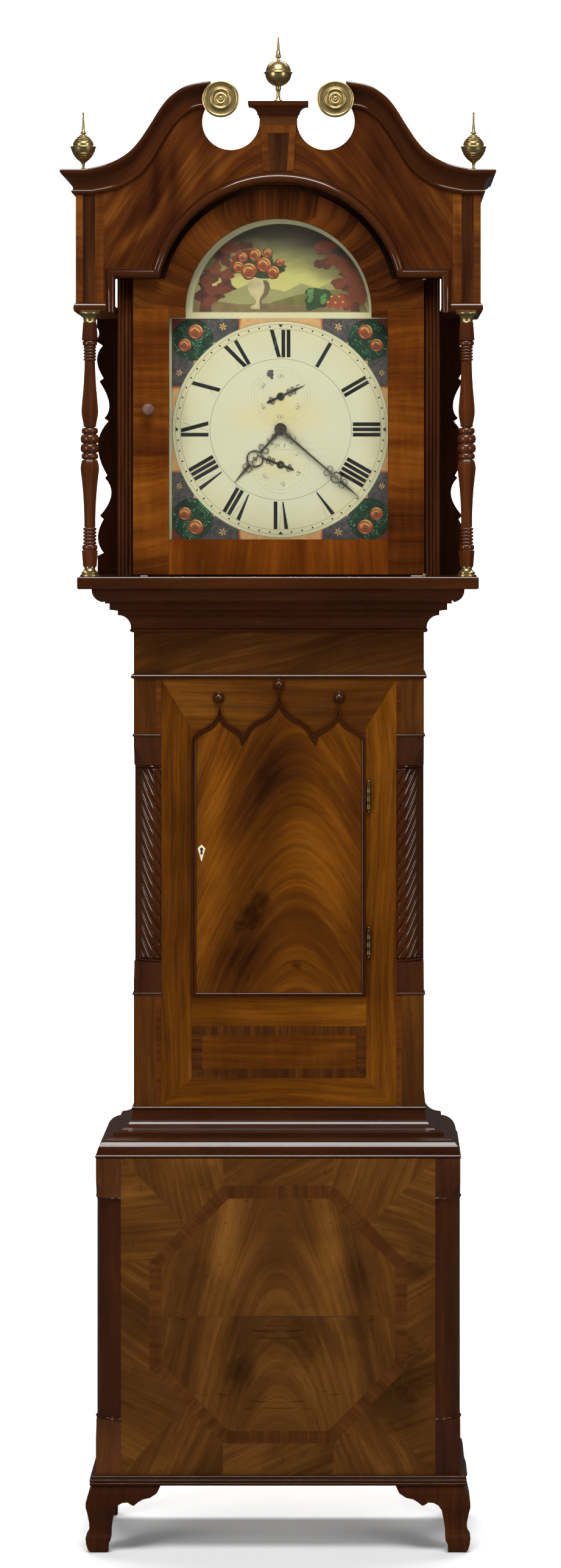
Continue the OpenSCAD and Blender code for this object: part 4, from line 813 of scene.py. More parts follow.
def cornice(side):
    rows = []
    yf = YFR * 1000
    for yy in (140.0, None):
        rows.append([(side * (324 + p), yf - p if yy is None else yy, 2207 - 40 * t) for t, p in CORN])
    for i in range(len(TS)):
        rows.append([(side * (TS[i][0] + t * (LS[i][0] - TS[i][0])), yf - p, TS[i][1] + t * (LS[i][1] - TS[i][1]))
                     for t, p in CORN])
    if side < 0:
        rows = [list(reversed(r)) for r in rows]
    return loft(rows)


for side, nm in ((-1, "left"), (1, "right")):
    v, f, u = join([cornice(side), lathe([(10, 0), (26, 0), (26, 24), (10, 24)], side * 91.3, 2318.4,
                                         seg=72, z0=YFR * 1000, axis="-Y")])
    o = add("cornice_" + nm, v, f, MAT["uvdark"], "hood", "dark_mahogany", smooth=32, uvf=u)
    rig.replaces(o, "cornice_moulding")

# ------------------------------------------------------------------ arch bead
def arch_path(x, z, r, n=64, z0=1979.0):
    a = math.degrees(math.asin((z - 1993) / r))
    half = [(x, z0), (x, z)] + arcpts(0, 1993, r, a, 90, n // 2)
    return half + [(-p[0], p[1]) for p in reversed(half[:-1])]


bead = [(-8.0, 0.0), (-8.0, 2.6), (-7.2, 3.2)] + [(0.9 + 7.1 * math.cos(math.radians(a)), 1.6 + 7.6 * math.sin(math.radians(a)))
                                             for a in range(176, -13, -12)] + [(8.2, 0.0)]
v, f, u = sweep(arch_path(268.5, 2041.5, 202.5), bead, YFR * 1000)
o = add("arch_bead_swept", v, f, MAT["uvdark"], "hood", "dark_mahogany", smooth=35, uvf=u)
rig.replaces(o, "arch_bead")


def capital_moulding(side):
    """Half-round that carries the frieze over a column: along the front and the side."""
    q = [(0.0, 1979.1)] + [(3.7 * math.cos(math.radians(a)), 1986.5 + 7.4 * math.sin(math.radians(a)))
                           for a in range(-88, 89, 11)] + [(0.0, 1993.9)]
    yf = YFR * 1000
    rows = [[(side * 275.4, yf - p, z) for p, z in q], [(side * (324 + p), yf - p, z) for p, z in q],
            [(side * (324 + p), 140.0, z) for p, z in q]]
    if side > 0:
        rows = [list(reversed(r)) for r in rows]
    return loft(rows)


for side, nm in ((-1, "left"), (1, "right")):
    v, f, u = capital_moulding(side)
    o = add("frieze_moulding_" + nm, v, f, MAT["uvdark"], "hood", "dark_mahogany", smooth=40, uvf=u)
    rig.replaces(o, "arch_bead")

# ------------------------------------------------------------------ roundels
def gadroon(r, z, a):
    k = 0.0
    if 5.0 < r < 11.2:
        k = 0.5 * math.sin(a * 22 + r * 0.35)
    return r + k


RD = [(2, 0), (28.6, 0), (29.7, 0.9), (29.5, 2.0), (28.2, 2.8), (26.4, 3.0), (24.8, 2.4), (24.0, 1.3), (22.6, 1.1),
      (19.6, 1.1), (18.3, 1.4), (17.9, 2.6), (17.0, 3.8), (15.6, 4.5), (14.2, 4.4), (12.9, 3.4), (12.2, 2.2), (11.6, 2.0),
      (11.0, 3.2), (9.6, 4.2), (7.6, 4.6), (5.8, 4.2), (5.0, 3.4), (4.4, 3.2), (4.0, 4.0), (3.6, 5.2), (2.4, 5.8), (1.2, 5.5)]
for side, nm in ((-1, "left"), (1, "right")):
    parts = [lathe(RD, side * 91.3, 2318.4, seg=132, z0=YFR * 1000 - 24, axis="-Y", rfun=gadroon)]
    v, f, u = join(parts)
    o = add("roundel_" + nm, v, f, MAT["brass_old"], "hood", "antique_brass", smooth=35)
    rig.replaces(o, "brass_roundels")

# ------------------------------------------------------------------ veneers
VT = 0.3      # thickness of a veneer, mm


def veneer(name, polys, yf, mat, body, slot="mahogany"):
    """polys: (outline, grain angle or radial centre, u offset, holes)."""
    parts = []
    for i, p in enumerate(polys):
        out, gr = p[0], p[1]
        uo = p[2] if len(p) > 2 else 37.0 * i
        holes = p[3] if len(p) > 3 else ()
        a = sum(out[k][0] * out[(k + 1) % len(out)][1] - out[(k + 1) % len(out)][0] * out[k][1] for k in range(len(out)))
        if a < 0:
            out = list(reversed(out))
        if isinstance(gr, tuple):
            parts.append(plate(out, yf - VT, VT, holes, radial=gr, uoff=uo, voff=uo * 3))
        else:
            parts.append(plate(out, yf - VT, VT, holes, grain=gr, uoff=uo, voff=uo * 1.7))
    v, f, u = join(parts)
    return add(name, v, f, mat, body, slot, uvf=u)


def mx(p):
    return [(-x, z) for x, z in p]


# base: octagon of crossbanding round a field in two halves
yb = YB * 1000
O = [(88, 584), (206, 461), (206, 293), (88, 172)]
I = [(79.5, 563), (186.5, 454), (186.5, 300), (79.5, 192)]
F8 = O + mx(O)[::-1]
I8 = I + mx(I)[::-1]
field = [(p[0], p[1]) for p in I8]
up = [p for p in field if p[1] > 375]
dn = [p for p in field if p[1] < 375]
upper = [(-186.5, 375.2), (186.5, 375.2), (186.5, 454), (79.5, 563), (-79.5, 563), (-186.5, 454)]
lower = [(-186.5, 374.8), (-186.5, 300), (-79.5, 192), (79.5, 192), (186.5, 300), (186.5, 374.8)]
veneer("base_field_upper", [(upper, 0.0, 0.0)], yb, MAT["basefield"], "case")
veneer("base_field_lower", [(lower, 0.0, 0.0)], yb, MAT["basefield2"], "case")
band = []
for k in range(8):
    a, b, c, d = F8[k], F8[(k + 1) % 8], I8[(k + 1) % 8], I8[k]
    ang = math.degrees(math.atan2(b[0] - a[0], b[1] - a[1])) + 90
    band.append(([a, b, c, d], ang, 55.0 * k))
veneer("base_octagon_band", band, yb, MAT["uvband"], "case")
outer = []
mid_u, mid_l = (147.0, 522.5), (147.0, 232.5)
for s in (1, -1):
    def q(*pp):
        return [(s * x, z) for x, z in pp]
    outer.append((q((88, 584), (88, 627), (251, 627), mid_u), s * 18, 40.0 + 9 * s))
    outer.append((q(mid_u, (251, 627), (251, 461), (206, 461)), s * (-78) if s > 0 else 84, 140.0 + 9 * s))
    outer.append((q((206, 461), (251, 461), (251, 293), (206, 293)), s * 58, 240.0 + 9 * s))
    outer.append((q((206, 293), (251, 293), (251, 122), mid_l), s * 66, 340.0 + 9 * s))
    outer.append((q(mid_l, (251, 122), (88, 122), (88, 172)), s * (-24), 440.0 + 9 * s))
outer.append(([(-88, 584), (88, 584), (88, 627), (-88, 627)], 62, 540.0))
outer.append(([(-88, 172), (-88, 122), (88, 122), (88, 172)], 70, 640.0))
veneer("base_outer_veneers", [o for i, o in enumerate(outer) if i % 2 == 0], yb, MAT["uvbase"], "case")
veneer("base_corner_veneers", [o for i, o in enumerate(outer) if i % 2 == 1], yb, MAT["uvbase2"], "case")


def crack(name, pts, w, yf, body):
    """A fine dark split in a veneer, pointed at both ends."""
    n = len(pts)
    up_ = [(p[0], p[1] + w / 2 * (0.15 + math.sin(math.pi * i / (n - 1)))) for i, p in enumerate(pts)]
    dn_ = [(p[0], p[1] - w / 2 * (0.15 + math.sin(math.pi * i / (n - 1)))) for i, p in enumerate(pts)]
    v, f, u = plate(dn_ + up_[::-1], yf - VT - 0.03, 0.03)
    return add(name, v, f, MAT["crack"], body, "mahogany")


def wander(x0, x1, z, n, amp, seed, dz=0.0):
    q = random.Random(seed)
    return [(x0 + (x1 - x0) * i / n, z + dz * i / n + q.uniform(-amp, amp)) for i in range(n + 1)]


crack("base_split", wander(-72, 138, 375, 24, 0.5, 3), 1.1, yb, "case")
crack("base_split_right", wander(172, 247, 236, 12, 0.6, 4, -14), 0.8, yb, "case")

# trunk: stiles and rails mitred round the door, a banded panel under it
yt = YT * 1000
DHW, DZ0 = 140.0, 879.0


OG = [(140, 1290), (139.6, 1295), (137, 1300.5), (131, 1305.9), (119.5, 1312), (108, 1319.7), (99.8, 1331.3), (95, 1346),
      (90.5, 1331.3), (83.7, 1320.6), (73.6, 1313.8), (64.4, 1309), (58.8, 1304), (57, 1300), (54.4, 1304), (47.6, 1314.4),
      (37, 1323), (21.6, 1331.3), (11, 1342), (4.4, 1355.8), (0, 1369)]
OGS = smoothed(OG[:8], 4)[:-1] + smoothed(OG[7:14], 4)[:-1] + smoothed(OG[13:], 4)


def ogee_half(g):
    """The smooth outline of half the door's top, with g taken off."""
    ext = [(140, 1200)] + OGS + [(-OGS[-2][0], OGS[-2][1])]
    ms = mitres(ext, False)[1:-1]
    out = []
    for p, m in zip(OGS, ms):
        k = g
        for xt, lo in ((95.0, 1322.0), (0.0, 1340.0)):
            near = abs(p[0] - xt)
            if g > 0 and p[1] > lo and near < 16 and abs(m[0]) > 0.05:
                k = min(k, near / abs(m[0]))
        out.append((p[0] + m[0] * k, p[1] + m[1] * k, k))
    # the points themselves end where their neighbours meet
    for i, p in enumerate(OGS):
        if g > 0 and i in (28, len(OGS) - 1):
            q = out[i - 1]
            out[i] = (p[0], min(p[1], q[1] + 0.05), q[2])
    return [(a, b) for a, b, c in out]


def ogee_top(g):
    r = ogee_half(g)
    return [(-x, z) for x, z in r[:-1]] + list(reversed(r))


gap = ogee_top(-0.5)
stile = [(189, 703.2), (140.7, 748), (140.7, 1300), (140.7, 1312), (189, 1390.6)]
veneer("trunk_stiles", [(stile, 0.0, 0.0), (mx(stile), 0.0, 410.0)], yt, MAT["uvstile"], "case")
rail = [(-189, 1390.8), (-140.7, 1312.2)] + [p for p in gap] + [(140.7, 1312.2), (189, 1390.8)]
rail = [(-189, 1390.8), (-140.9, 1312.2), (-140.5, 1300)] + gap[1:-1] + [(140.5, 1300), (140.9, 1312.2), (189, 1390.8)]
veneer("trunk_top_rail", [(rail, 90.0, 30.0)], yt, MAT["uvrail"], "case")
veneer("trunk_bottom_rail", [([(-189, 703.2), (189, 703.2), (140.7, 748), (-140.7, 748)], 90.0, 130.0),
                             ([(-140.6, 832), (140.6, 832), (140.6, DZ0 - 0.6), (-140.6, DZ0 - 0.6)], 88.0, 230.0)],
       yt, MAT["uvstile2"], "case")
o4 = [(-140.6, 748), (140.6, 748), (140.6, 832), (-140.6, 832)]
i4 = [(-123.5, 763.5), (123.5, 763.5), (123.5, 817), (-123.5, 817)]
veneer("trunk_panel_band", [([o4[k], o4[(k + 1) % 4], i4[(k + 1) % 4], i4[k]], 0.0 if k % 2 == 0 else 90.0, 60.0 * k)
                            for k in range(4)], yt, MAT["uvred"], "case")
veneer("trunk_panel_field", [(i4, 90.0, 77.0)], yt, MAT["uvpanel"], "case")
veneer("trunk_frieze_veneer", [([(-233.2, 1399.6), (233.2, 1399.6), (233.2, 1465.8), (-233.2, 1465.8)], 74.0, 5.0)],
       yt, MAT["uvfrieze"], "case")
blk = []
for s in (1, -1):
    for z0, z1 in ((703.3, 881.7), (1302.4, 1390.6)):
        blk.append(([(s * 197.5, z0), (s * 233.2, z0), (s * 233.2, z1), (s * 197.5, z1)], 0.0, 20.0 + 90 * len(blk)))
veneer("trunk_block_veneers", blk, yt, MAT["uvblock"], "case")
blk = []
for s in (1, -1):
    for z0, z1 in ((703.3, 881.7), (1302.4, 1390.6)):
        blk.append(([(s * 189.2, z0), (s * 197.4, z0), (s * 197.4, z1), (s * 189.2, z1)], 90.0, 20.0 + 90 * len(blk)))
veneer("trunk_block_edging", blk, yt, MAT["uvcross"], "case")
crack("trunk_rail_split", wander(-140, 20, 1346, 20, 0.5, 8, -1), 0.9, yt, "case")
crack("trunk_rail_split_right", wander(30, 92, 1345, 10, 0.5, 9), 0.7, yt, "case")

# the door's edge moulding: a bead with a quirk, following the ogee points
PROF = [(-0.2, -0.4), (-0.2, 5.2), (0.4, 7.0), (1.4, 7.9), (2.3, 7.7), (2.8, 6.4), (3.3, 7.6), (4.3, 8.5), (5.5, 8.5), (6.6, 7.7),
        (7.4, 6.2), (7.6, 4.8), (7.0, 3.2), (3.0, 3.0), (3.0, -0.4)]
full = {}
for a, b in PROF:
    h = ogee_half(max(a, 0.0))
    full[(a, b)] = [(DHW - a, DZ0 + a)] + h + [(-x, z) for x, z in reversed(h[:-1])] + [(-DHW + a, DZ0 + a)]
rows = []
for i in range(len(full[PROF[0]])):
    rows.append([(full[q][i][0], yt - q[1], full[q][i][1]) for q in PROF])
v, f, u = loft(rows, closed_u=True)
o = add("door_edge_bead", v, f, MAT["uvdark"], "trunk_door", "dark_mahogany", smooth=40, uvf=u)
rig.replaces(o, "trunk_door_moulding")
h = ogee_half(6.0)
h = [p for i, p in enumerate(h) if i == 0 or math.dist(p, h[i - 1]) > 0.25]
face = [(-DHW + 6, DZ0 + 6), (DHW - 6, DZ0 + 6)] + h + [(-x, z) for x, z in reversed(h) if x > 0.2]
v, f, u = plate(face, yt - 5.55, 0.6)
add("door_face", v, f, MAT["door"], "trunk_door", "mahogany", uvf=u)
# kite-shaped escutcheon with a keyhole
ex, ez = -124.2, 1110.6
kite = [(ex - 6.2, ez + 8.0), (ex, ez + 14.0), (ex + 6.2, ez + 8.0), (ex + 3.4, ez - 1.5), (ex + 0.5, ez - 12.6),
        (ex - 0.5, ez - 12.6), (ex - 3.4, ez - 1.5)]
v, f, u = plate(kite[::-1], yt - 6.3, 0.8)
o = add("keyhole_plate", v, f, MAT["bone"], "trunk_door", "bone")
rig.replaces(o, "escutcheon")
hole = arcpts(ex, ez + 6.6, 2.6, -58, 238, 22) + [(ex - 1.9, ez - 2.0), (ex + 1.9, ez - 2.0)]
v, f, u = plate(hole, yt - 6.36, 0.3)
add("keyhole", v, f, MAT["crack"], "trunk_door", "bone")

# hood door: short grain across the stiles, fanning round the arch
yd = YDOOR * 1000
ang = math.degrees(math.asin((1980.9 - 1980.9) / 149.0))
A_IN = arcpts(0, 1980.9, 149.3, 180 + 3.6, -3.6, 60)
x_s = 186.0 * math.cos(math.asin((2033.0 - 1992.0) / 186.0))
A_OUT = arcpts(0, 1992, 186.0, math.degrees(math.asin(41.0 / 186.0)), 180 - math.degrees(math.asin(41.0 / 186.0)), 60)
opening = [(-175.6, 1971.6), (-149.0, 1971.6)] + A_IN[1:-1] + [(149.0, 1971.6), (175.6, 1971.6)]
st = [(175.6, 1615.4), (233.0, 1559.6), (233.0, 1985), (175.6, 1971.6)]
st = [(175.6, 1559.6), (233.0, 1559.6), (233.0, 1985.0), (175.6, 1985.0)]
veneer("hood_door_stiles", [(st, 90.0, 11.0), (mx(st), 90.0, 311.0)], yd, MAT["uvdoor"], "hood_door")
veneer("hood_door_bottom_rail", [([(-175.4, 1559.6), (175.4, 1559.6), (175.4, 1615.4), (-175.4, 1615.4)], 0.0, 19.0)],
       yd, MAT["uvdoor2"], "hood_door")
arch_piece = [(175.4, 1971.8), (175.4, 1985.2), (232.8, 1985.2), (232.8, 2032.8)] + A_OUT + \
             [(-232.8, 2032.8), (-232.8, 1985.2), (-175.4, 1985.2), (-175.4, 1971.8)] + \
             [(-149.2, 1971.8)] + A_IN[1:-1] + [(149.2, 1971.8)]
# the arch's material paints shade along the top of the arch, under the arch bead
veneer("hood_door_arch", [(arch_piece, (0.0, 1960.0), 0.0)], yd, MAT["uvarch"], "hood_door")

# keystone: a dark wedge between light bands, a band across the top
yk = YFR * 1000 - 1.7
veneer("keystone_wedge", [([(-13.5, 2205), (13.5, 2205), (17.5, 2266), (-17.5, 2266)], 0.0, 0.0),
                          ([(-29, 2279), (29, 2279), (29, 2292), (-29, 2292)], 84.0, 60.0)], yk, MAT["uvkey"], "hood")
veneer("keystone_bands", [([(13.6, 2205), (24.4, 2205), (28.0, 2266), (17.6, 2266)], 84.0, 10.0),
                          ([(-13.6, 2205), (-17.6, 2266), (-28.0, 2266), (-24.4, 2205)], 84.0, 90.0),
                          ([(-28.0, 2266.2), (28.0, 2266.2), (28.8, 2278.8), (-28.8, 2278.8)], 0.0, 190.0)],
       yk, MAT["uvcross"], "hood")

# frieze: narrow upright bands at the outer ends, with short grain
yf_ = YFR * 1000
o1 = [(312.4, 1994.4), (323.8, 1994.4), (323.8, 2166.6), (312.4, 2166.6)]
i1 = [(279.4, 1994.4), (293.0, 1994.4), (293.0, 2168.2), (279.4, 2170.6)]
d1 = [(293.1, 1994.4), (312.3, 1994.4), (312.3, 2166.6), (293.1, 2168.1)]
veneer("frieze_dark_bands", [(d1, 4.0, 50.0), (mx(d1), -4.0, 250.0)], yf_, MAT["uvkey"], "hood")
veneer("frieze_end_bands", [(o1, 90.0, 5.0), (mx(o1), 90.0, 205.0), (i1, 90.0, 405.0), (mx(i1), 90.0, 605.0)],
       yf_, MAT["uvcross"], "hood")


# ------------------------------------------------------------------ hinge barrels of the trunk door
for k, (z0, z1) in enumerate(((947.0, 986.0), (1181.0, 1222.0))):
    t = (z1 - z0) / 3
    hx, hy = 144.5, YT * 1000 - 4.5
    for nm, a, b, body, tips in (("lower", z0, z0 + t - 0.4, "case", (1, 0)), ("middle", z0 + t, z0 + 2 * t - 0.4, "trunk_door", (0, 0)),
                                 ("upper", z0 + 2 * t, z1, "case", (0, 1))):
        pr = [(3.0, a), (3.55, a + 0.3), (3.6, a + 0.9), (3.45, a + 1.4), (3.45, b - 1.4), (3.6, b - 0.9), (3.55, b - 0.3), (3.0, b)]
        if tips[0]:
            pr = [(0.3, a - 6.4), (1.1, a - 6.2), (1.9, a - 5.4), (2.2, a - 4.2), (1.9, a - 3.0), (1.2, a - 2.2), (1.0, a - 1.6),
                  (1.5, a - 1.0), (2.6, a - 0.6)] + pr
        if tips[1]:
            pr = pr + [(2.6, b + 0.6), (1.5, b + 1.0), (1.0, b + 1.6), (1.2, b + 2.2), (1.9, b + 3.0), (2.2, b + 4.2), (1.9, b + 5.4),
                       (1.1, b + 6.2), (0.3, b + 6.4)]
        v, f, u = lathe(pr, hx, hy, seg=32)
        add("hinge_%s_%d" % (nm, k), v, f, MAT["brass_dull"], body, "antique_brass", smooth=35)

# ------------------------------------------------------------------ finials
def groove(pts, n=5):
    return pts


def ball(r, zc, a0, a1, n, sq=1.0):
    return [(r * math.cos(math.radians(a0 + (a1 - a0) * i / n)), zc + sq * r * math.sin(math.radians(a0 + (a1 - a0) * i / n)))
            for i in range(n + 1)]


MIDF = [(0.5, 0.1), (6.8, 0.1), (7.0, 1.4), (6.4, 2.6), (4.4, 3.6), (3.4, 5.6), (3.1, 9.0), (3.1, 14.0), (3.5, 17.6), (4.6, 19.2),
        (4.9, 20.6), (4.4, 22.2), (4.9, 24.6)]
MIDF += ball(21.3, 45.9, -76, -3, 20) + [(21.4, 45.3), (23.2, 45.6), (23.5, 46.3), (23.2, 47.0), (20.6, 47.3)]
MIDF += ball(20.3, 47.5, 2, 83, 22, 0.965) + [(2.1, 67.5), (1.9, 69.2), (4.3, 70.8), (4.8, 72.6), (4.4, 74.6), (3.5, 75.6), (3.9, 76.6),
        (3.3, 79.0), (2.6, 82.5), (2.2, 87.0), (1.9, 93.0), (1.5, 99.0), (1.15, 103.4), (0.7, 104.7), (0.2, 105.0)]
SIDF = [(0.5, 0.1), (6.5, 0.1), (6.4, 1.5), (4.6, 2.7), (2.7, 4.8), (2.4, 7.4), (2.8, 10.0), (3.4, 11.8), (4.8, 13.4), (7.0, 15.1),
        (9.9, 17.4), (12.0, 19.5), (11.7, 20.0), (13.4, 21.3), (14.6, 22.8), (14.3, 23.3), (15.8, 24.8), (16.8, 26.4), (16.5, 26.9),
        (17.6, 28.6), (18.6, 31.0), (19.4, 33.6), (19.9, 35.8), (20.9, 36.6), (21.1, 37.3), (20.7, 38.1), (17.6, 38.6), (16.2, 39.4),
        (16.6, 41.0), (16.5, 43.2), (15.6, 45.6), (14.0, 46.2), (15.0, 46.7), (15.0, 47.6), (12.2, 48.8), (13.1, 49.4), (13.0, 50.4),
        (9.6, 51.8), (10.3, 52.4), (10.1, 53.3), (6.4, 54.8), (7.0, 55.3), (6.6, 56.0), (3.2, 57.2), (2.6, 58.0), (4.6, 59.2), (5.0, 60.2),
        (4.6, 61.0), (3.1, 61.8), (3.4, 62.6), (2.7, 64.0), (2.3, 72.0), (1.8, 82.0), (1.35, 88.6), (1.2, 89.6), (1.8, 91.0), (1.9, 92.0),
        (1.5, 93.2), (0.6, 94.0), (0.2, 94.1)]
for nm, x, y, z, pf in (("middle", 0.0, YFR * 1000, 2316.0, MIDF), ("left", -312.5, YFR * 1000 + 11, 2207.0, SIDF),
                        ("right", 312.5, YFR * 1000 + 11, 2207.0, SIDF)):
    v, f, u = lathe(pf, x, y, seg=64, z0=z)
    o = add("finial_" + nm, v, f, MAT["brass_old"], "hood", "antique_brass", smooth=30)
    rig.replaces(o, "brass_finials")

# the turned knob of the hood door
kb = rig.box("hood_door_knob")
KNOB = [(0.5, 0.1), (7.4, 0.1), (7.5, 0.9), (7.1, 1.7), (5.0, 2.6), (4.1, 4.2), (3.9, 6.6), (4.6, 7.9), (7.0, 9.0), (8.9, 10.6),
        (9.7, 12.8), (9.6, 15.2), (8.6, 17.4), (6.6, 19.0), (3.6, 19.9), (0.3, 20.1)]
v, f, u = lathe(KNOB, -208.0, 1824.0, seg=48, z0=kb[1][1] * 1000, axis="Y")
o = add("hood_door_knob_turned", v, f, MAT["knob"], "hood_door", "dark_mahogany", smooth=50)
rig.replaces(o, "hood_door_knob")

# light-stop fillets behind the gap between the dial's mask and the pilasters
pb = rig.box("hood_pilasters")
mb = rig.box("hood_mask")
yb_ = pb[1][1] * 1000
for side, nm in ((-1, "left"), (1, "right")):
    x0, x1 = sorted((side * 230.0, side * 238.0))
    z0, z1 = pb[0][2] * 1000 + 0.4, min(pb[1][2], mb[1][2]) * 1000 - 0.4
    v = [(x, y, z) for z in (z0, z1) for x, y in ((x0, yb_ + 0.1), (x1, yb_ + 0.1), (x1, yb_ + 2.0), (x0, yb_ + 2.0))]
    f = [(3, 2, 1, 0), (4, 5, 6, 7), (0, 1, 5, 4), (1, 2, 6, 5), (2, 3, 7, 6), (3, 0, 4, 7)]
    add("mask_fillet_" + nm, v, f, MAT["side"], "hood", "dark_mahogany")
    x0, x1 = sorted((side * 190.0, side * 229.8))
    v = [(x, y, z) for z in (z0, z0 + 15.0) for x, y in ((x0, yb_ + 0.1), (x1, yb_ + 0.1), (x1, yb_ + 2.0), (x0, yb_ + 2.0))]
    add("mask_foot_fillet_" + nm, v, f, MAT["side"], "hood", "dark_mahogany")

# thin beads over the rings of the corner blocks, and round the stops
for side, nm in ((-1, "left"), (1, "right")):
    parts = []
    for zc in (884.0, 1300.0):
        prof = [(0.0, -1.9), (1.0, -1.75), (1.75, -1.1), (2.0, 0.0), (1.75, 1.1), (1.0, 1.75), (0.0, 1.9)]
        rows = []
        for t in range(3):
            row = []
            for p, dz in prof:
                if t == 0:
                    row.append((side * 189.2, YT * 1000 - p - 0.2, zc + dz))
                elif t == 1:
                    row.append((side * (233.7 + p), YT * 1000 - p - 0.2, zc + dz))
                else:
                    row.append((side * (233.7 + p), YT * 1000 + 44, zc + dz))
            row.append((side * (189.2 if t == 0 else 233.0), YT * 1000 + (1.0 if t < 2 else 44.0), zc + 1.9))
            row.append((side * (189.2 if t == 0 else 233.0), YT * 1000 + (1.0 if t < 2 else 44.0), zc - 1.9))
            if side < 0:
                row.reverse()
            rows.append(row)
        parts.append(loft(rows))
    v, f, u = join(parts)
    add("block_beads_" + nm, v, f, MAT["turned"], "case", "dark_mahogany", smooth=40)

    parts = []
    for z0 in (207.9, 560.9):
        prof = [(39.4, z0), (41.0, z0 + 0.2), (42.0, z0 + 1.2), (42.3, z0 + 2.2), (42.0, z0 + 3.2), (41.0, z0 + 4.2), (39.4, z0 + 4.4)]
        cx, cy = side * 251.0, YB * 1000 + 40
        rows = []
        for k in range(41):
            a = math.radians(0.0 + 90.0 * k / 40)
            row = [(cx + side * q * math.sin(a), cy - q * math.cos(a), z) for q, z in prof] + [(cx, cy, z0 + 4.4), (cx, cy, z0)]
            if side > 0:
                row.reverse()
            rows.append(row)
        parts.append(loft(rows))
    v, f, u = join(parts)
    add("base_rings_" + nm, v, f, MAT["turned"], "case", "dark_mahogany", smooth=40)

# ------------------------------------------------------------------ painted dial
DY = YDIAL * 1000          # front of the dial plate
DXM, DZM = 3.0, 1792.6


def spread(polys):
    """Gives the outlines back as they are."""
    return polys


def art(name, polys, layer, mat, holes=None, body="case", slot="painted_dial", t=0.02):
    parts = []
    for i, p in enumerate(polys):
        h = holes[i] if holes else ()
        parts.append(plate(p, DY - 0.03 - 0.02 * layer - 0.0007 * (i % 24), t, h))
    v, f, u = join(parts)
    return add(name, v, f, mat, body, slot)


def disc(cx, cz, r, n=96, a0=0.0):
    return [(cx + r * math.cos(2 * math.pi * k / n + a0), cz + r * math.sin(2 * math.pi * k / n + a0)) for k in range(n)]


def blob(cx, cz, rx, rz, n=28, jit=0.12, seed=0, turn=0.0):
    q = random.Random(seed * 7919 + 13)
    ph = [q.uniform(0, 6.28) for _ in range(4)]
    out = []
    for k in range(n):
        a = 2 * math.pi * k / n
        m = 1 + jit * (math.sin(2 * a + ph[0]) * 0.5 + math.sin(3 * a + ph[1]) * 0.4 + math.sin(5 * a + ph[2]) * 0.35
                       + math.sin(9 * a + ph[3]) * 0.25)
        x, z = rx * m * math.cos(a), rz * m * math.sin(a)
        ct, st = math.cos(math.radians(turn)), math.sin(math.radians(turn))
        out.append((cx + x * ct - z * st, cz + x * st + z * ct))
    return out


def clip_circle(pts, cx, cz, r):
    out = []
    for x, z in pts:
        d = math.hypot(x - cx, z - cz)
        if d > r:
            x, z = cx + (x - cx) * r / d, cz + (z - cz) * r / d
        out.append((x, z))
    return out


def dialpaint(name, c, other, amount=0.4, scale=60.0, stain=False, rough=0.42):
    g = Graph(name)
    v = g.coords("Object")
    a = g.noise(v, scale, 4, 0.6, 0.4)
    col = g.mix(g.math("MULTIPLY", g.ramp(a, [(0.35, 0.0), (0.7, 1.0)]), amount), c, other)
    if stain:
        s = g.sep(v)
        def dist(x, z, sx=1.0, sz=1.0):
            dx = g.math("MULTIPLY", g.math("SUBTRACT", s[0], x), sx)
            dz = g.math("MULTIPLY", g.math("SUBTRACT", s[2], z), sz)
            return g.math("SQRT", g.math("ADD", g.math("MULTIPLY", dx, dx), g.math("MULTIPLY", dz, dz)))
        n = g.noise(v, 22.0, 5, 0.65, 0.5)
        edge = g.ramp(g.math("ADD", dist(DXM * MM, DZM * MM), g.math("MULTIPLY", g.math("SUBTRACT", n, 0.5), 0.06)),
                      [(0.125, 0.0), (0.176, 1.0)])
        col = g.mix(g.math("MULTIPLY", edge, 0.55), col, (0.50, 0.44, 0.21))
        for (x, z, r, k, sx) in ((0.0, 1.815, 0.040, 0.55, 0.45), (0.003, 1.845, 0.022, 0.4, 1.0),
                                 (0.0, 1.735, 0.034, 0.35, 0.6)):
            d = g.math("ADD", dist(x, z, sx), g.math("MULTIPLY", g.math("SUBTRACT", n, 0.5), 0.03))
            m = g.ramp(g.math("DIVIDE", d, r), [(0.1, 1.0), (1.0, 0.0)])
            col = g.mix(g.math("MULTIPLY", m, k), col, (0.58, 0.46, 0.16))
        # rubbed grey streaks below the hub, where the hands have dragged
        st = g.noise(g.comb(g.math("MULTIPLY", s[0], 8.0), 0.0, g.math("MULTIPLY", s[2], 160.0)), 1.0, 3, 0.6, 0.3)
        d = g.math("ADD", dist(0.018, 1.765, 1.0, 2.6), g.math("MULTIPLY", g.math("SUBTRACT", n, 0.5), 0.05))
        m = g.math("MULTIPLY", g.ramp(g.math("DIVIDE", d, 0.085), [(0.2, 1.0), (1.0, 0.0)]),
                   g.ramp(st, [(0.52, 0.0), (0.7, 1.0)]))
        col = g.mix(g.math("MULTIPLY", m, 0.5), col, (0.30, 0.29, 0.22))
        d = dist(0.006, 1.7835, 1.0, 2.0)
        m = g.ramp(g.math("DIVIDE", d, 0.026), [(0.3, 1.0), (1.0, 0.0)])
        col = g.mix(g.math("MULTIPLY", m, 0.35), col, (0.20, 0.17, 0.10))
    g.put(g.b.inputs["Base Color"], col)
    g.put(g.b.inputs["Roughness"], g.math("MULTIPLY_ADD", a, 0.12, rough - 0.05))
    g.b.inputs["Coat Weight"].default_value = 0.15
    g.b.inputs["Coat Roughness"].default_value = 0.25
    return g.m


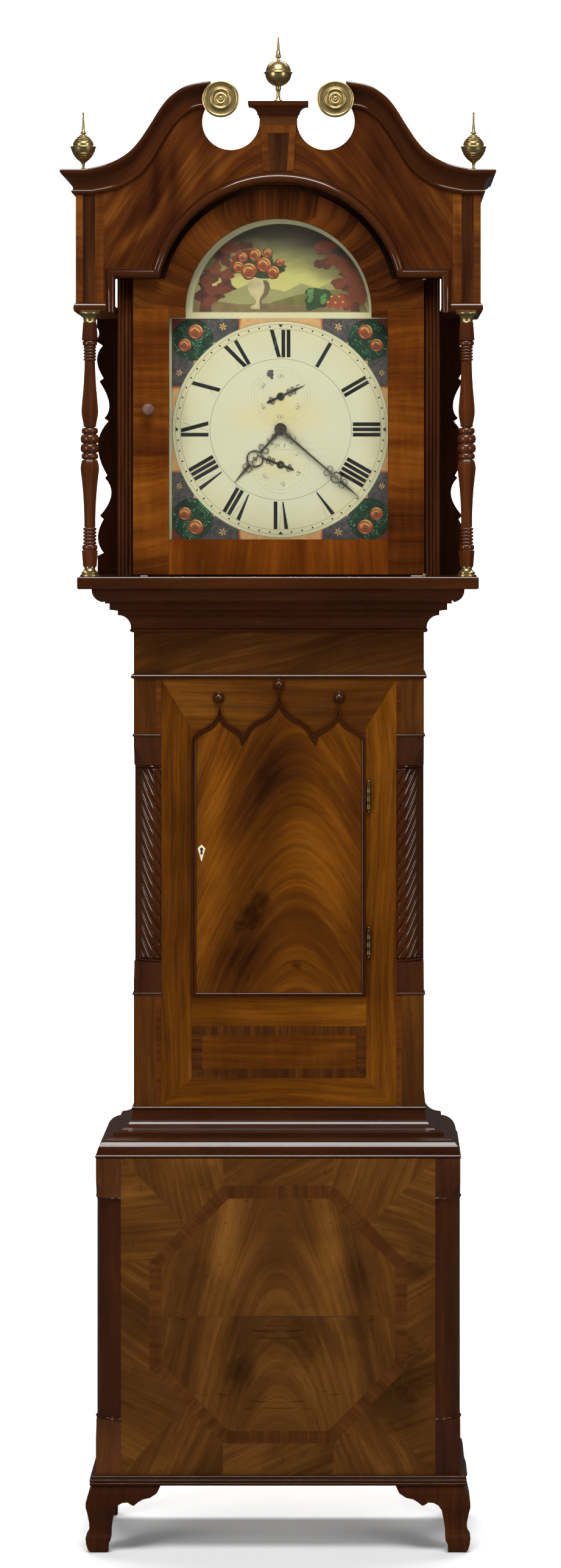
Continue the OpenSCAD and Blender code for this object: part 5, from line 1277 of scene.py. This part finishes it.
CREAM = dialpaint("dial_cream", (0.565, 0.535, 0.365), (0.50, 0.46, 0.290), 0.35, 14.0, stain=True)
BORDER = dialpaint("dial_border", (0.52, 0.50, 0.34), (0.36, 0.33, 0.22), 0.5, 40.0)
INK = dialpaint("dial_black", (0.006, 0.0055, 0.005), (0.028, 0.025, 0.020), 0.4, 200.0)
FAINT = dialpaint("dial_worn_line", (0.16, 0.15, 0.10), (0.50, 0.48, 0.32), 0.8, 240.0)
MID = dialpaint("dial_thin_line", (0.13, 0.12, 0.09), (0.30, 0.28, 0.2), 0.7, 240.0)
RED = dialpaint("dial_deep_red", (0.175, 0.028, 0.014), (0.095, 0.016, 0.010), 0.6, 70.0)
PEACH = dialpaint("dial_peach", (0.46, 0.235, 0.080), (0.58, 0.36, 0.155), 0.8, 120.0)
ORANGE = dialpaint("dial_orange_edge", (0.42, 0.095, 0.025), (0.55, 0.16, 0.04), 0.6, 120.0)
GOLD = dialpaint("dial_gold", (0.52, 0.27, 0.055), (0.72, 0.52, 0.22), 0.7, 300.0)
MAT["dial_ground"] = BORDER
N["dial_plate"].data.materials.clear()
N["dial_plate"].data.materials.append(BORDER)


def speckled(name, base, second, spots, scale, spot_scale, cover):
    g = Graph(name)
    v = g.coords("Object")
    a = g.noise(v, scale, 4, 0.65, 0.6)
    col = g.mix(g.ramp(a, [(0.38, 0.0), (0.62, 1.0)]), base, second)
    for i, (c, thr) in enumerate(spots):
        vo = g.n("ShaderNodeTexVoronoi", feature="F1")
        g.put(vo.inputs["Vector"], g.vec("ADD", v, (i * 0.37, i * 0.11, i * 0.23)))
        vo.inputs["Scale"].default_value = spot_scale * (1 + 0.37 * i)
        k = g.math("MULTIPLY", g.ramp(vo.outputs["Distance"], [(0.0, 1.0), (thr, 1.0), (thr + 0.08, 0.0)]),
                   g.ramp(g.noise(v, spot_scale * 0.33, 2, 0.5), [(cover, 0.0), (cover + 0.08, 1.0)]))
        col = g.mix(k, col, c)
    g.put(g.b.inputs["Base Color"], col)
    g.b.inputs["Roughness"].default_value = 0.4
    g.b.inputs["Coat Weight"].default_value = 0.15
    g.put(g.b.inputs["Normal"], g.bump(a, 0.1, 0.0002))
    return g.m


GREY = speckled("dial_grey_panel", (0.040, 0.034, 0.034), (0.085, 0.074, 0.070), [((0.30, 0.25, 0.16), 0.14)], 130, 300, 0.5)
LEAF = speckled("dial_foliage", (0.005, 0.016, 0.007), (0.010, 0.042, 0.019),
                [((0.06, 0.30, 0.15), 0.24), ((0.16, 0.42, 0.24), 0.16), ((0.55, 0.55, 0.26), 0.12)], 160, 260, 0.48)

# the ground of the plate, with its arch
ar = math.degrees(math.acos(0))
ground = [(-178.9, 1611.1), (184.9, 1611.1), (184.9, 1972.9)] + \
         arcpts(DXM, 1981, 153.9, math.degrees(math.asin(-8.1 / 153.9)), 180 - math.degrees(math.asin(-8.1 / 153.9)), 72) + \
         [(-178.9, 1972.9)]
art("dial_ground", [ground], 0, CREAM)
L, R_, B_, T_ = DXM - 174.6, DXM + 174.6, DZM - 178.0, DZM + 178.0
# thin dark line round the painted square
sq = [(L, B_), (R_, B_), (R_, T_), (L, T_)]
art("dial_square_line", [[(L - 0.6, B_ - 0.6), (R_ + 0.6, B_ - 0.6), (R_ + 0.6, T_ + 0.6), (L - 0.6, T_ + 0.6)]], 1, MID)
art("dial_square_peach", [sq], 2, PEACH)
corner, greyp, orng, leaves = [], [], [], []
stars = []
for sx in (-1, 1):
    for sz in (-1, 1):
        X0, Z0 = DXM + sx * 174.6, DZM + sz * 178.0
        orng.append([(X0, Z0), (DXM + sx * 63.5, Z0), (DXM + sx * 66.5, DZM + sz * 150), (X0, DZM + sz * 150)])
        orng.append([(X0, Z0), (X0, DZM + sz * 66), (DXM + sx * 148, DZM + sz * 66), (DXM + sx * 148, Z0)])
        greyp.append([(X0, Z0), (DXM + sx * 66.5, Z0), (DXM + sx * 69.0, DZM + sz * 140), (X0, DZM + sz * 140)])
        greyp.append([(X0, Z0), (X0, DZM + sz * 69), (DXM + sx * 140, DZM + sz * 69), (DXM + sx * 140, Z0)])
        cc = (DXM + sx * 142.0, DZM + sz * 144.0)
        corner.append([(X0, Z0), (DXM + sx * 125.0, Z0), (cc[0], cc[1]), (X0, DZM + sz * 125.0)])
        leaves.append(clip_box := [(min(max(x, L), R_), min(max(z, B_), T_)) for x, z in disc(cc[0], cc[1], 32.8, 72)])
        stars += [(DXM + sx * 93.0, DZM + sz * 165.0), (DXM + sx * 163.0, DZM + sz * 91.0)]


def orient(p):
    a = sum(p[i][0] * p[(i + 1) % len(p)][1] - p[(i + 1) % len(p)][0] * p[i][1] for i in range(len(p)))
    return p if a > 0 else list(reversed(p))


for i in range(4):
    art("dial_spandrel_edge_%d" % i, [orient(p) for p in orng[2 * i:2 * i + 1]], 3, ORANGE)
    art("dial_spandrel_edge_side_%d" % i, [orient(orng[2 * i + 1])], 4, ORANGE)
    art("dial_spandrel_grey_%d" % i, [orient(greyp[2 * i])], 5, GREY)
    art("dial_spandrel_grey_side_%d" % i, [orient(greyp[2 * i + 1])], 6, GREY)
    art("dial_spandrel_red_%d" % i, [orient(corner[i])], 7, RED)
    art("dial_spandrel_rim_%d" % i, [orient([(min(max(x, L), R_), min(max(z, B_), T_)) for x, z in
        disc(DXM + (142 if i > 1 else -142), DZM + (144 if i % 2 else -144), 33.6, 72)])], 8, INK)
    art("dial_foliage_%d" % i, [orient(leaves[i])], 9, LEAF)


def star(cx, cz, r, n=6):
    out = []
    for k in range(n):
        a = 2 * math.pi * k / n + 0.3
        out.append([(cx + rr * math.cos(a + da), cz + rr * math.sin(a + da))
                    for rr, da in ((r * 0.16, -0.5), (r * 0.75, -0.24), (r, 0.0), (r * 0.75, 0.24), (r * 0.16, 0.5))])
    return out


pet = []
for i, (x, z) in enumerate(stars):
    pet += star(x, z, 6.6 if i % 2 == 0 else 5.4)
art("dial_gold_flowers", pet, 7, GOLD)
art("dial_flower_hearts", [disc(x, z, 1.2, 14) for x, z in stars], 8, INK)

ROSE = [dialpaint("rose_dark", (0.085, 0.018, 0.007), (0.055, 0.012, 0.006), 0.6, 150),
        dialpaint("rose_red", (0.24, 0.055, 0.017), (0.18, 0.038, 0.012), 0.6, 150),
        dialpaint("rose_orange", (0.38, 0.135, 0.028), (0.30, 0.090, 0.020), 0.6, 150),
        dialpaint("rose_light", (0.58, 0.34, 0.10), (0.46, 0.22, 0.05), 0.6, 150),
        dialpaint("rose_heart", (0.12, 0.022, 0.010), (0.08, 0.016, 0.008), 0.6, 150)]


def crescent(cx, cz, r, w, a0, a1, n=18):
    """A petal's edge: an arc of radius r, w wide at its middle and pointed."""
    out = [(cx + r * math.cos(math.radians(a0 + (a1 - a0) * i / n)), cz + r * math.sin(math.radians(a0 + (a1 - a0) * i / n)))
           for i in range(n + 1)]
    for i in range(n - 1, 0, -1):
        a = math.radians(a0 + (a1 - a0) * i / n)
        k = r - w * math.sin(math.pi * i / n)
        out.append((cx + k * math.cos(a), cz + k * math.sin(a)))
    return out


def rose(cx, cz, r, seed, layers):
    """A cabbage rose in five tones: a red body, orange and pale petal edges over its
    upper part, and a dark fold at the heart."""
    q = random.Random(seed)
    t = q.uniform(-25, 25)
    layers[0].append(blob(cx, cz, r, r * 0.96, 30, 0.08, seed))
    layers[1].append(blob(cx, cz + r * 0.04, r * 0.90, r * 0.86, 28, 0.07, seed + 1))
    for k in range(5):
        a = math.radians(t + 20 + 36 * k)
        layers[2].append(blob(cx + r * 0.52 * math.cos(a), cz + r * 0.10 + r * 0.46 * math.sin(a), r * 0.30, r * 0.20, 16, 0.10,
                              seed * 10 + k, math.degrees(a) + 90))
    layers[3].append(crescent(cx, cz + r * 0.08, r * 0.80, r * 0.17, t - 5, t + 120))
    layers[3].append(crescent(cx - r * 0.04, cz + r * 0.08, r * 0.56, r * 0.20, t + 50, t + 190))
    layers[3].append(crescent(cx + r * 0.04, cz + r * 0.04, r * 0.36, r * 0.16, t - 20, t + 130))
    layers[3].append(crescent(cx, cz - r * 0.10, r * 0.70, r * 0.09, t + 215, t + 290))
    layers[4].append(crescent(cx + r * 0.02, cz + r * 0.02, r * 0.66, r * 0.12, t + 10, t + 165))
    layers[4].append(crescent(cx, cz - r * 0.04, r * 0.50, r * 0.10, t + 175, t + 320))
    layers[4].append(crescent(cx, cz, r * 0.93, r * 0.10, t + 150, t + 300))
    layers[4].append(crescent(cx, cz, r * 0.26, r * 0.15, t + 170, t + 330))
    layers[4].append(crescent(cx + r * 0.05, cz + r * 0.02, r * 0.20, r * 0.08, t - 30, t + 120))


for i, (sx, sz) in enumerate(((-1, -1), (-1, 1), (1, -1), (1, 1))):
    ly = [[], [], [], [], []]
    rose(DXM + sx * 136.5, DZM + sz * 157.0, 13.2, 40 + i, ly)
    rose(DXM + sx * 154.0, DZM + sz * 135.5, 11.4, 50 + i, ly)
    for k in range(5):
        art("dial_roses_%d_%d" % (i, k), [orient(p) for p in ly[k]], 10 + k, ROSE[k])

# chapter disc, its rings and its dots
art("chapter_edge", [disc(DXM, DZM, 174.6, 160)], 11, MID)
art("chapter_disc", [disc(DXM, DZM, 173.6, 160)], 12, CREAM)


def ringp(r, w, cx=DXM, cz=DZM, n=160):
    return disc(cx, cz, r + w / 2, n), [disc(cx, cz, r - w / 2, n)]


rr = [ringp(169.0, 0.6), ringp(161.6, 0.6), ringp(113.5, 0.75)]
art("chapter_rings", [a for a, _ in rr], 13, MID, holes=[h for _, h in rr])
dots = []
for k in range(60):
    a = math.radians(6 * k)
    dots.append(disc(DXM + 166.0 * math.sin(a), DZM + 166.0 * math.cos(a), 1.45, 14))
for k in range(4):
    a = math.radians(90 * k)
    e, s = (math.cos(a), -math.sin(a)), (math.sin(a), math.cos(a))
    dots.append(orient([(DXM + e[0] * q + s[0] * h, DZM + e[1] * q + s[1] * h) for q, h in ((-4.2, 169.0), (0, 164.2), (4.2, 169.0))]))
art("chapter_dots", dots, 14, INK)

# roman hours; strokes as (kind, x): X and V are a thick and a thin stroke
NUM = {1: "I", 2: "II", 3: "III", 4: "IIII", 5: "V", 6: "VI", 7: "VII", 8: "VIII", 9: "IX", 10: "X", 11: "XI", 12: "XII"}
WID = {"I": 8.4, "V": 16.5, "X": 17.0}
thick, thin = [], []
for h, text in NUM.items():
    a = math.radians(30 * h)
    e, s = (math.cos(a), -math.sin(a)), (math.sin(a), math.cos(a))

    def P(x, y):
        return (DXM + e[0] * x + s[0] * y, DZM + e[1] * x + s[1] * y)

    def bar(x0, y0, x1, y1, w, out, w2=None):
        out.append(orient([P(x0 - w / 2, y0), P(x0 + w / 2, y0), P(x1 + (w2 or w) / 2, y1), P(x1 - (w2 or w) / 2, y1)]))
    tot = sum(WID[c] for c in text)
    x = -tot / 2
    lo, hi = 116.2, 160.2
    for c in text:
        w = WID[c]
        m = x + w / 2
        if c == "I":
            bar(m, lo, m, hi, 6.0, thick)
            thin.append(orient([P(m - 3.9, hi), P(m + 3.9, hi), P(m + 3.9, hi + 0.45), P(m - 3.9, hi + 0.45)]))
            thin.append(orient([P(m - 3.9, lo - 0.45), P(m + 3.9, lo - 0.45), P(m + 3.9, lo), P(m - 3.9, lo)]))
        elif c == "V":
            bar(m - 5.0, hi, m + 0.6, lo, 6.4, thick, 2.0)
            bar(m + 6.2, hi, m + 1.0, lo, 0.6, thin)
        else:
            bar(m - 6.0, hi, m + 5.8, lo, 6.5, thick)
            bar(m + 6.4, hi - 3, m - 6.4, lo, 0.6, thin)
            thin.append(orient([P(m - 9.5, hi), P(m - 3.0, hi), P(m - 3.0, hi + 0.4), P(m - 9.5, hi + 0.4)]))
        x += w
art("hour_numerals", thick, 15, INK)
art("hour_serifs", thin, 15, FAINT)

# subdials: rings of dashes and small worn numbers
sub = []
for cz, R, n in ((DZM + 53, 47.5, 60), (DZM + 53, 41.5, 0), (DZM - 57, 46.0, 62), (DZM - 57, 40.5, 0)):
    pass
faint = []
for k in range(60):
    if k % 7 == 5 or 18 < k < 24:
        continue
    a0, a1 = math.radians(6 * k + 1.2), math.radians(6 * k + 4.4)
    for R, w in ((42.2, 0.75),):
        faint.append(orient([(DXM + (R + d) * math.sin(a), DZM + 53 + (R + d) * math.cos(a))
                             for a, d in ((a0, 0), (a1, 0), (a1, w), (a0, w))]))
for k in range(62):
    if k % 5 == 3 or 8 < k < 15 or 40 < k < 45:
        continue
    a0, a1 = math.radians(360 / 62 * k + 1.2), math.radians(360 / 62 * k + 4.0)
    faint.append(orient([(DXM + (39.6 + d) * math.sin(a), DZM - 57 + (39.6 + d) * math.cos(a))
                         for a, d in ((a0, 0), (a1, 0), (a1, 0.75), (a0, 0.75))]))
art("subdial_dashes", faint, 13, FAINT)
rr = [ringp(47.6, 0.25, DXM, DZM + 53, 96), ringp(38.8, 0.2, DXM, DZM + 53, 96), ringp(46.0, 0.25, DXM, DZM - 57, 96)]
art("subdial_rings", [a for a, _ in rr], 14, FAINT, holes=[h for _, h in rr])


def digits(word, cx, cz, h, ang):
    """Small numbers as strokes on a 4 x 6 grid."""
    SEG = {"0": [(0, 1, 0, 5), (0, 5, 1, 6), (1, 6, 2.4, 6), (3.4, 5, 3.4, 1), (2.4, 0, 1, 0)],
           "1": [(1.6, 0, 1.6, 6)], "2": [(0, 5, 1, 6), (1, 6, 2.6, 6), (3.2, 5, 3.2, 3.8), (3.2, 3.8, 0, 0), (0, 0, 3.4, 0)],
           "3": [(0, 5.6, 3, 6), (3, 6, 1.6, 3.4), (1.6, 3.4, 3.4, 2), (3.4, 2, 2.4, 0), (2.4, 0, 0, 0.6)],
           "4": [(2.6, 0, 2.6, 6), (2.6, 6, 0, 2), (0, 2, 3.6, 2)],
           "5": [(3.2, 6, 0.6, 6), (0.6, 6, 0.4, 3.4), (0.4, 3.4, 3, 3.2), (3.2, 3, 3.2, 1), (3.0, 0.6, 0, 0)],
           "6": [(3, 6, 0.8, 4), (0.4, 4, 0.2, 1), (0.4, 0.4, 3, 0), (3.3, 0.6, 3.2, 2.8), (3, 3, 0.6, 3)]}
    wds = {"1": 2.4}
    tot = sum(wds.get(c, 4.8) for c in word)
    ca, sa = math.cos(math.radians(ang)), math.sin(math.radians(ang))
    out, x = [], -tot / 2
    k = h / 6.0
    for c in word:
        for j, (x0, y0, x1, y1) in enumerate(SEG[c]):
            w = (1.15 if abs(y1 - y0) > 1.5 and (x1 - x0) >= 0 else 0.45)
            dx, dy = x1 - x0, y1 - y0
            l = math.hypot(dx, dy) or 1
            nx, ny = -dy / l * w / 2, dx / l * w / 2
            q = []
            for px, py in ((x0 + nx, y0 + ny), (x1 + nx, y1 + ny), (x1 - nx, y1 - ny), (x0 - nx, y0 - ny)):
                px, py = (px + x) * k, (py - 3) * k
                q.append((cx + px * ca + py * sa, cz - px * sa + py * ca))
            out.append(orient(q))
        x += wds.get(c, 4.8)
    return out


small = []
for i, t in enumerate(("60", "10", "20", "30", "40", "50")):
    a = 60 * i
    small += digits(t, DXM + 32.5 * math.sin(math.radians(a)), DZM + 53 + 32.5 * math.cos(math.radians(a)), 7.0, a)
art("seconds_numbers", small, 15, MID)
small = []
for d, t in ((5, "5"), (10, "10"), (15, "15"), (20, "20"), (25, "25"), (30, "30")):
    a = 360.0 * d / 31
    small += digits(t, DXM + 31.5 * math.sin(math.radians(a)), DZM - 57 + 31.5 * math.cos(math.radians(a)), 6.8, a)
small += digits("1", DXM + 31.5 * math.sin(math.radians(11)), DZM - 57 + 31.5 * math.cos(math.radians(11)), 6.8, 11)
art("date_numbers", small, 15, MID)

# a flake of paint lost beside the seconds hand
art("dial_paint_loss", [[(DXM + x, DZM + z) for x, z in ((-22.5, 91), (-19, 95.5), (-14, 96), (-11, 94.5), (-12.5, 91),
     (-10.8, 88.5), (-12.5, 85), (-11.5, 81), (-15, 80.5), (-17.5, 84), (-22, 86))][::-1]], 15,
    dialpaint("bare_iron", (0.06, 0.058, 0.055), (0.12, 0.11, 0.1), 0.6, 300))

# ------------------------------------------------------------------ picture in the arch
AX, AZ, AR = DXM, 1981.6, 141.4


def half_disc(r, z0=0.0, n=72):
    return [(AX - r, AZ + z0), (AX + r, AZ + z0)] + [(AX + r * math.cos(math.pi * k / n), AZ + max(z0, r * math.sin(math.pi * k / n)))
                                                  for k in range(1, n)]


def inside(pts, r=AR - 0.3):
    out = []
    for x, z in pts:
        z = max(z, AZ + 0.2)
        d = math.hypot(x - AX, z - AZ)
        if d > r:
            x, z = AX + (x - AX) * r / d, AZ + (z - AZ) * r / d
        out.append((x, max(z, AZ + 0.2)))
    return orient(out)


def sky():
    g = Graph("arch_sky")
    v = g.coords("Object")
    s = g.sep(v)
    n = g.noise(g.vec("MULTIPLY", v, (1.0, 1.0, 2.5)), 18.0, 5, 0.6, 0.6)
    h = g.math("ADD", g.math("DIVIDE", g.math("SUBTRACT", s[2], AZ * MM), AR * MM),
               g.math("MULTIPLY", g.math("SUBTRACT", n, 0.5), 0.28))
    dx = g.math("DIVIDE", g.math("SUBTRACT", s[0], -0.018), 0.085)
    side = g.math("MULTIPLY", dx, dx)
    h2 = g.math("ADD", h, g.math("MULTIPLY", side, 0.14))
    col = g.ramp(h2, [(0.0, (0.30, 0.25, 0.085)), (0.22, (0.46, 0.40, 0.14)), (0.45, (0.40, 0.37, 0.115)),
                      (0.66, (0.16, 0.145, 0.055)), (0.86, (0.045, 0.036, 0.022))])
    g.put(g.b.inputs["Base Color"], col)
    g.b.inputs["Roughness"].default_value = 0.4
    g.b.inputs["Coat Weight"].default_value = 0.2
    return g.m


art("arch_line", [half_disc(AR + 0.7, -0.7)], 1, MID)
art("arch_sky", [half_disc(AR)], 2, sky())
OLIVE = dialpaint("arch_olive", (0.105, 0.090, 0.026), (0.20, 0.175, 0.05), 0.7, 60)
FAR = dialpaint("arch_far_hill", (0.27, 0.25, 0.10), (0.20, 0.19, 0.07), 0.6, 40)
BROWN = dialpaint("arch_brown", (0.055, 0.018, 0.010), (0.13, 0.042, 0.018), 0.8, 60)
RUST = dialpaint("arch_rust", (0.16, 0.040, 0.014), (0.085, 0.022, 0.010), 0.7, 70)
DGREEN = dialpaint("arch_dark_green", (0.017, 0.038, 0.014), (0.050, 0.085, 0.022), 0.7, 80)
LGREEN = dialpaint("arch_green", (0.055, 0.145, 0.040), (0.13, 0.24, 0.07), 0.7, 110)
EARTH = dialpaint("arch_earth", (0.20, 0.135, 0.055), (0.11, 0.07, 0.03), 0.7, 50)
STONE = dialpaint("arch_stone", (0.46, 0.38, 0.20), (0.30, 0.23, 0.12), 0.7, 70)
SHADE = dialpaint("arch_stone_shade", (0.13, 0.095, 0.045), (0.09, 0.06, 0.03), 0.7, 70)
art("arch_far_hills", [inside([(-130, AZ), (-120, AZ + 34), (-96, AZ + 44), (-70, AZ + 36), (-45, AZ + 47), (-16, AZ + 38), (10, AZ + 33),
    (36, AZ + 46), (62, AZ + 38), (92, AZ + 52), (120, AZ + 40), (137, AZ)])], 3, FAR)
art("arch_near_hill", [inside([(-40, AZ), (-10, AZ + 16), (24, AZ + 26), (60, AZ + 34), (95, AZ + 36), (130, AZ + 30), (143, AZ)])], 4, OLIVE)
art("arch_ground", [inside([(-143, AZ), (-138, AZ + 22), (-100, AZ + 17), (-60, AZ + 12), (-20, AZ + 14), (30, AZ + 11), (80, AZ + 15),
    (120, AZ + 12), (143, AZ)])], 5, EARTH)
# trees at both sides, leaning in under the curve
tr = [inside([(-128, AZ), (-122, AZ + 40), (-110, AZ + 70), (-96, AZ + 92), (-92, AZ + 90), (-104, AZ + 66), (-110, AZ + 38), (-108, AZ)]),
      inside([(116, AZ), (113, AZ + 40), (103, AZ + 66), (90, AZ + 86), (94, AZ + 90), (110, AZ + 72), (121, AZ + 44), (131, AZ)])]
art("arch_trunks", tr, 6, BROWN)
q = random.Random(5)
cl, cr, cd = [], [], []
for k in range(26):
    a = math.radians(q.uniform(118, 172))
    r = q.uniform(95, 134)
    (cl if k % 2 else cd).append(inside(blob(AX + r * math.cos(a), AZ + r * math.sin(a), q.uniform(9, 17), q.uniform(6, 10), 20, 0.3, 100 + k)))
for k in range(24):
    a = math.radians(q.uniform(6, 56))
    r = q.uniform(100, 134)
    (cr if k % 2 else cd).append(inside(blob(AX + r * math.cos(a), AZ + r * math.sin(a), q.uniform(9, 16), q.uniform(6, 10), 20, 0.3, 200 + k)))
art("arch_tree_shadow", cd, 7, BROWN)
art("arch_leaves", cl + cr, 8, RUST)
# bushes
bs = [inside(blob(62 + 9 * math.cos(k * 1.9), AZ + 22 + 6 * math.sin(k * 2.3), 17 - k, 12, 24, 0.25, 300 + k)) for k in range(5)]
art("arch_bush", bs, 6, DGREEN)
bl = [inside(blob(58 + 14 * math.cos(k * 2.1), AZ + 25 + 9 * math.sin(k * 1.7), 5.5, 3.4, 14, 0.3, 320 + k, 30)) for k in range(9)]
art("arch_bush_light", bl, 9, LGREEN)
# a stone vase of flowers, left of the middle
vx = -32.0
vase = [(-13, 5), (13, 5), (13, 9), (5, 13), (4, 18), (14, 28), (18, 38), (16, 47), (12, 51), (14, 55), (-14, 55), (-12, 51), (-16, 47),
        (-18, 38), (-14, 28), (-4, 18), (-5, 13), (-13, 9)]
art("arch_vase", [inside([(vx + x, AZ + z) for x, z in vase])], 9, STONE)
art("arch_vase_shade", [inside([(vx + x, AZ + z) for x, z in ((2, 5), (13, 5), (13, 9), (5, 13), (4, 18), (14, 28), (18, 38), (16, 47),
    (12, 51), (6, 51), (9, 42), (8, 32), (1, 20), (1, 13))])], 10, SHADE)
lf = []
for k in range(16):
    a = math.radians(12 + k * 10.4)
    r = 34 + 6 * math.sin(k * 2.7)
    lf.append(inside(blob(vx + r * math.cos(a), AZ + 70 + r * 0.62 * math.sin(a) - 8, 10, 4.2, 16, 0.2, 340 + k, math.degrees(a))))
lf.append(inside(blob(vx, AZ + 70, 28, 18, 30, 0.15, 360)))
for i in range(0, len(lf)):
    pass
art("arch_bouquet_leaves", lf[:-1], 10, DGREEN)
art("arch_bouquet_heart", [lf[-1]], 11, DGREEN)
ly = [[], [], [], [], []]
for i, (x, z, r) in enumerate(((-16, 66, 14), (8, 76, 13), (-6, 92, 11), (23, 64, 11), (-33, 72, 10), (14, 95, 8), (-26, 88, 8.5), (34, 80, 7))):
    rose(vx + x, AZ + z, r, 70 + i, ly)
for k in range(5):
    art("arch_flowers_%d" % k, [inside(p) for p in ly[k]], 12 + k, ROSE[k])
# fruit at the right
fr = [inside(disc(94 + x, AZ + 13 + z, r, 20)) for x, z, r in ((-12, 0, 6.2), (0, -1, 6.8), (12, 0, 6.0), (-6, 9, 5.8), (6, 9, 6.2))]
art("arch_fruit", [orient(p) for p in fr], 11, ROSE[1])
art("arch_fruit_light", [inside(blob(92 + x, AZ + 16 + z, 1.9, 1.2, 12, 0.2, 400 + i)) for i, (x, z) in enumerate(((-13, 0), (-1, -1), (11, 0), (-7, 9), (5, 9)))],
    12, ROSE[3])
# ------------------------------------------------------------------ camera, floor and light
def backdrop():
    rows = []
    prof = [(-9500.0, 0.0), (-4000.0, 0.0), (1500.0, 0.0), (3200.0, 0.0)]
    prof += [(3200 + 2600 * math.sin(math.radians(a)), 2600 - 2600 * math.cos(math.radians(a))) for a in range(6, 91, 6)]
    prof += [(5800.0, 5200.0), (5800.0, 9500.0)]
    V, F = [], []
    for x in (-9000.0, 9000.0):
        V += [(x, y, z - 0.02) for y, z in prof]
    n = len(prof)
    F = [(i, i + n, i + n + 1, i + 1) for i in range(n - 1)]
    g = Graph("pale_floor")
    a = g.noise(g.coords(), 3.0, 2)
    g.put(g.b.inputs["Base Color"], g.ramp(a, [(0.0, (0.86, 0.86, 0.86)), (1.0, (0.89, 0.89, 0.89))]))
    g.b.inputs["Roughness"].default_value = 0.85
    g.b.inputs["Specular IOR Level"].default_value = 0.1
    o = add("studio_backdrop", V, F, g.m, None, None, smooth=40, stage=True)
    o.visible_glossy = False


backdrop()


def area(name, loc, target, sx, sy, power, color=(1, 1, 1)):
    l = bpy.data.lights.new(name, "AREA")
    l.shape = "RECTANGLE"
    l.size, l.size_y, l.energy, l.color = sx, sy, power, color
    o = bpy.data.objects.new(name, l)
    o.location = loc
    o.rotation_euler = (Vector(target) - Vector(loc)).to_track_quat("-Z", "Y").to_euler()
    S.collection.objects.link(o)
    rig.stage(o)
    return o


area("overhead", (0.0, -1.9, 4.3), (0, -0.1, 1.3), 1.9, 1.5, 140)
area("left_box", (-3.2, -3.2, 2.1), (0, -0.1, 1.2), 0.9, 2.6, 78)
area("right_box", (3.2, -3.2, 2.1), (0, -0.1, 1.2), 0.9, 2.6, 62)
area("backdrop_wash", (0, 2.4, 5.6), (0, 5.4, 1.6), 7.0, 2.2, 620)

w = bpy.data.worlds.new("studio")
S.world = w
w.use_nodes = True
w.node_tree.nodes["Background"].inputs[0].default_value = (1, 1, 1, 1)
w.node_tree.nodes["Background"].inputs[1].default_value = 0.05
S.view_settings.view_transform = "Standard"
S.view_settings.look = "None"

cam = bpy.data.cameras.new("camera")
cam.lens, cam.sensor_width = 99.8, 36.0
cam.shift_x, cam.shift_y = -0.054, -0.170
cam.clip_end = 60
co = bpy.data.objects.new("camera", cam)
co.location = (0.139, -7.0725, 1.651)
co.rotation_euler = (math.pi / 2, 0, 0)
S.collection.objects.link(co)
S.camera = co

bpy.context.view_layer.update()
with open("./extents.json", "w") as fh:
    json.dump({"cad": CAD_BOX, "shown": [list(map(float, v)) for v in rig.bounds()]}, fh)
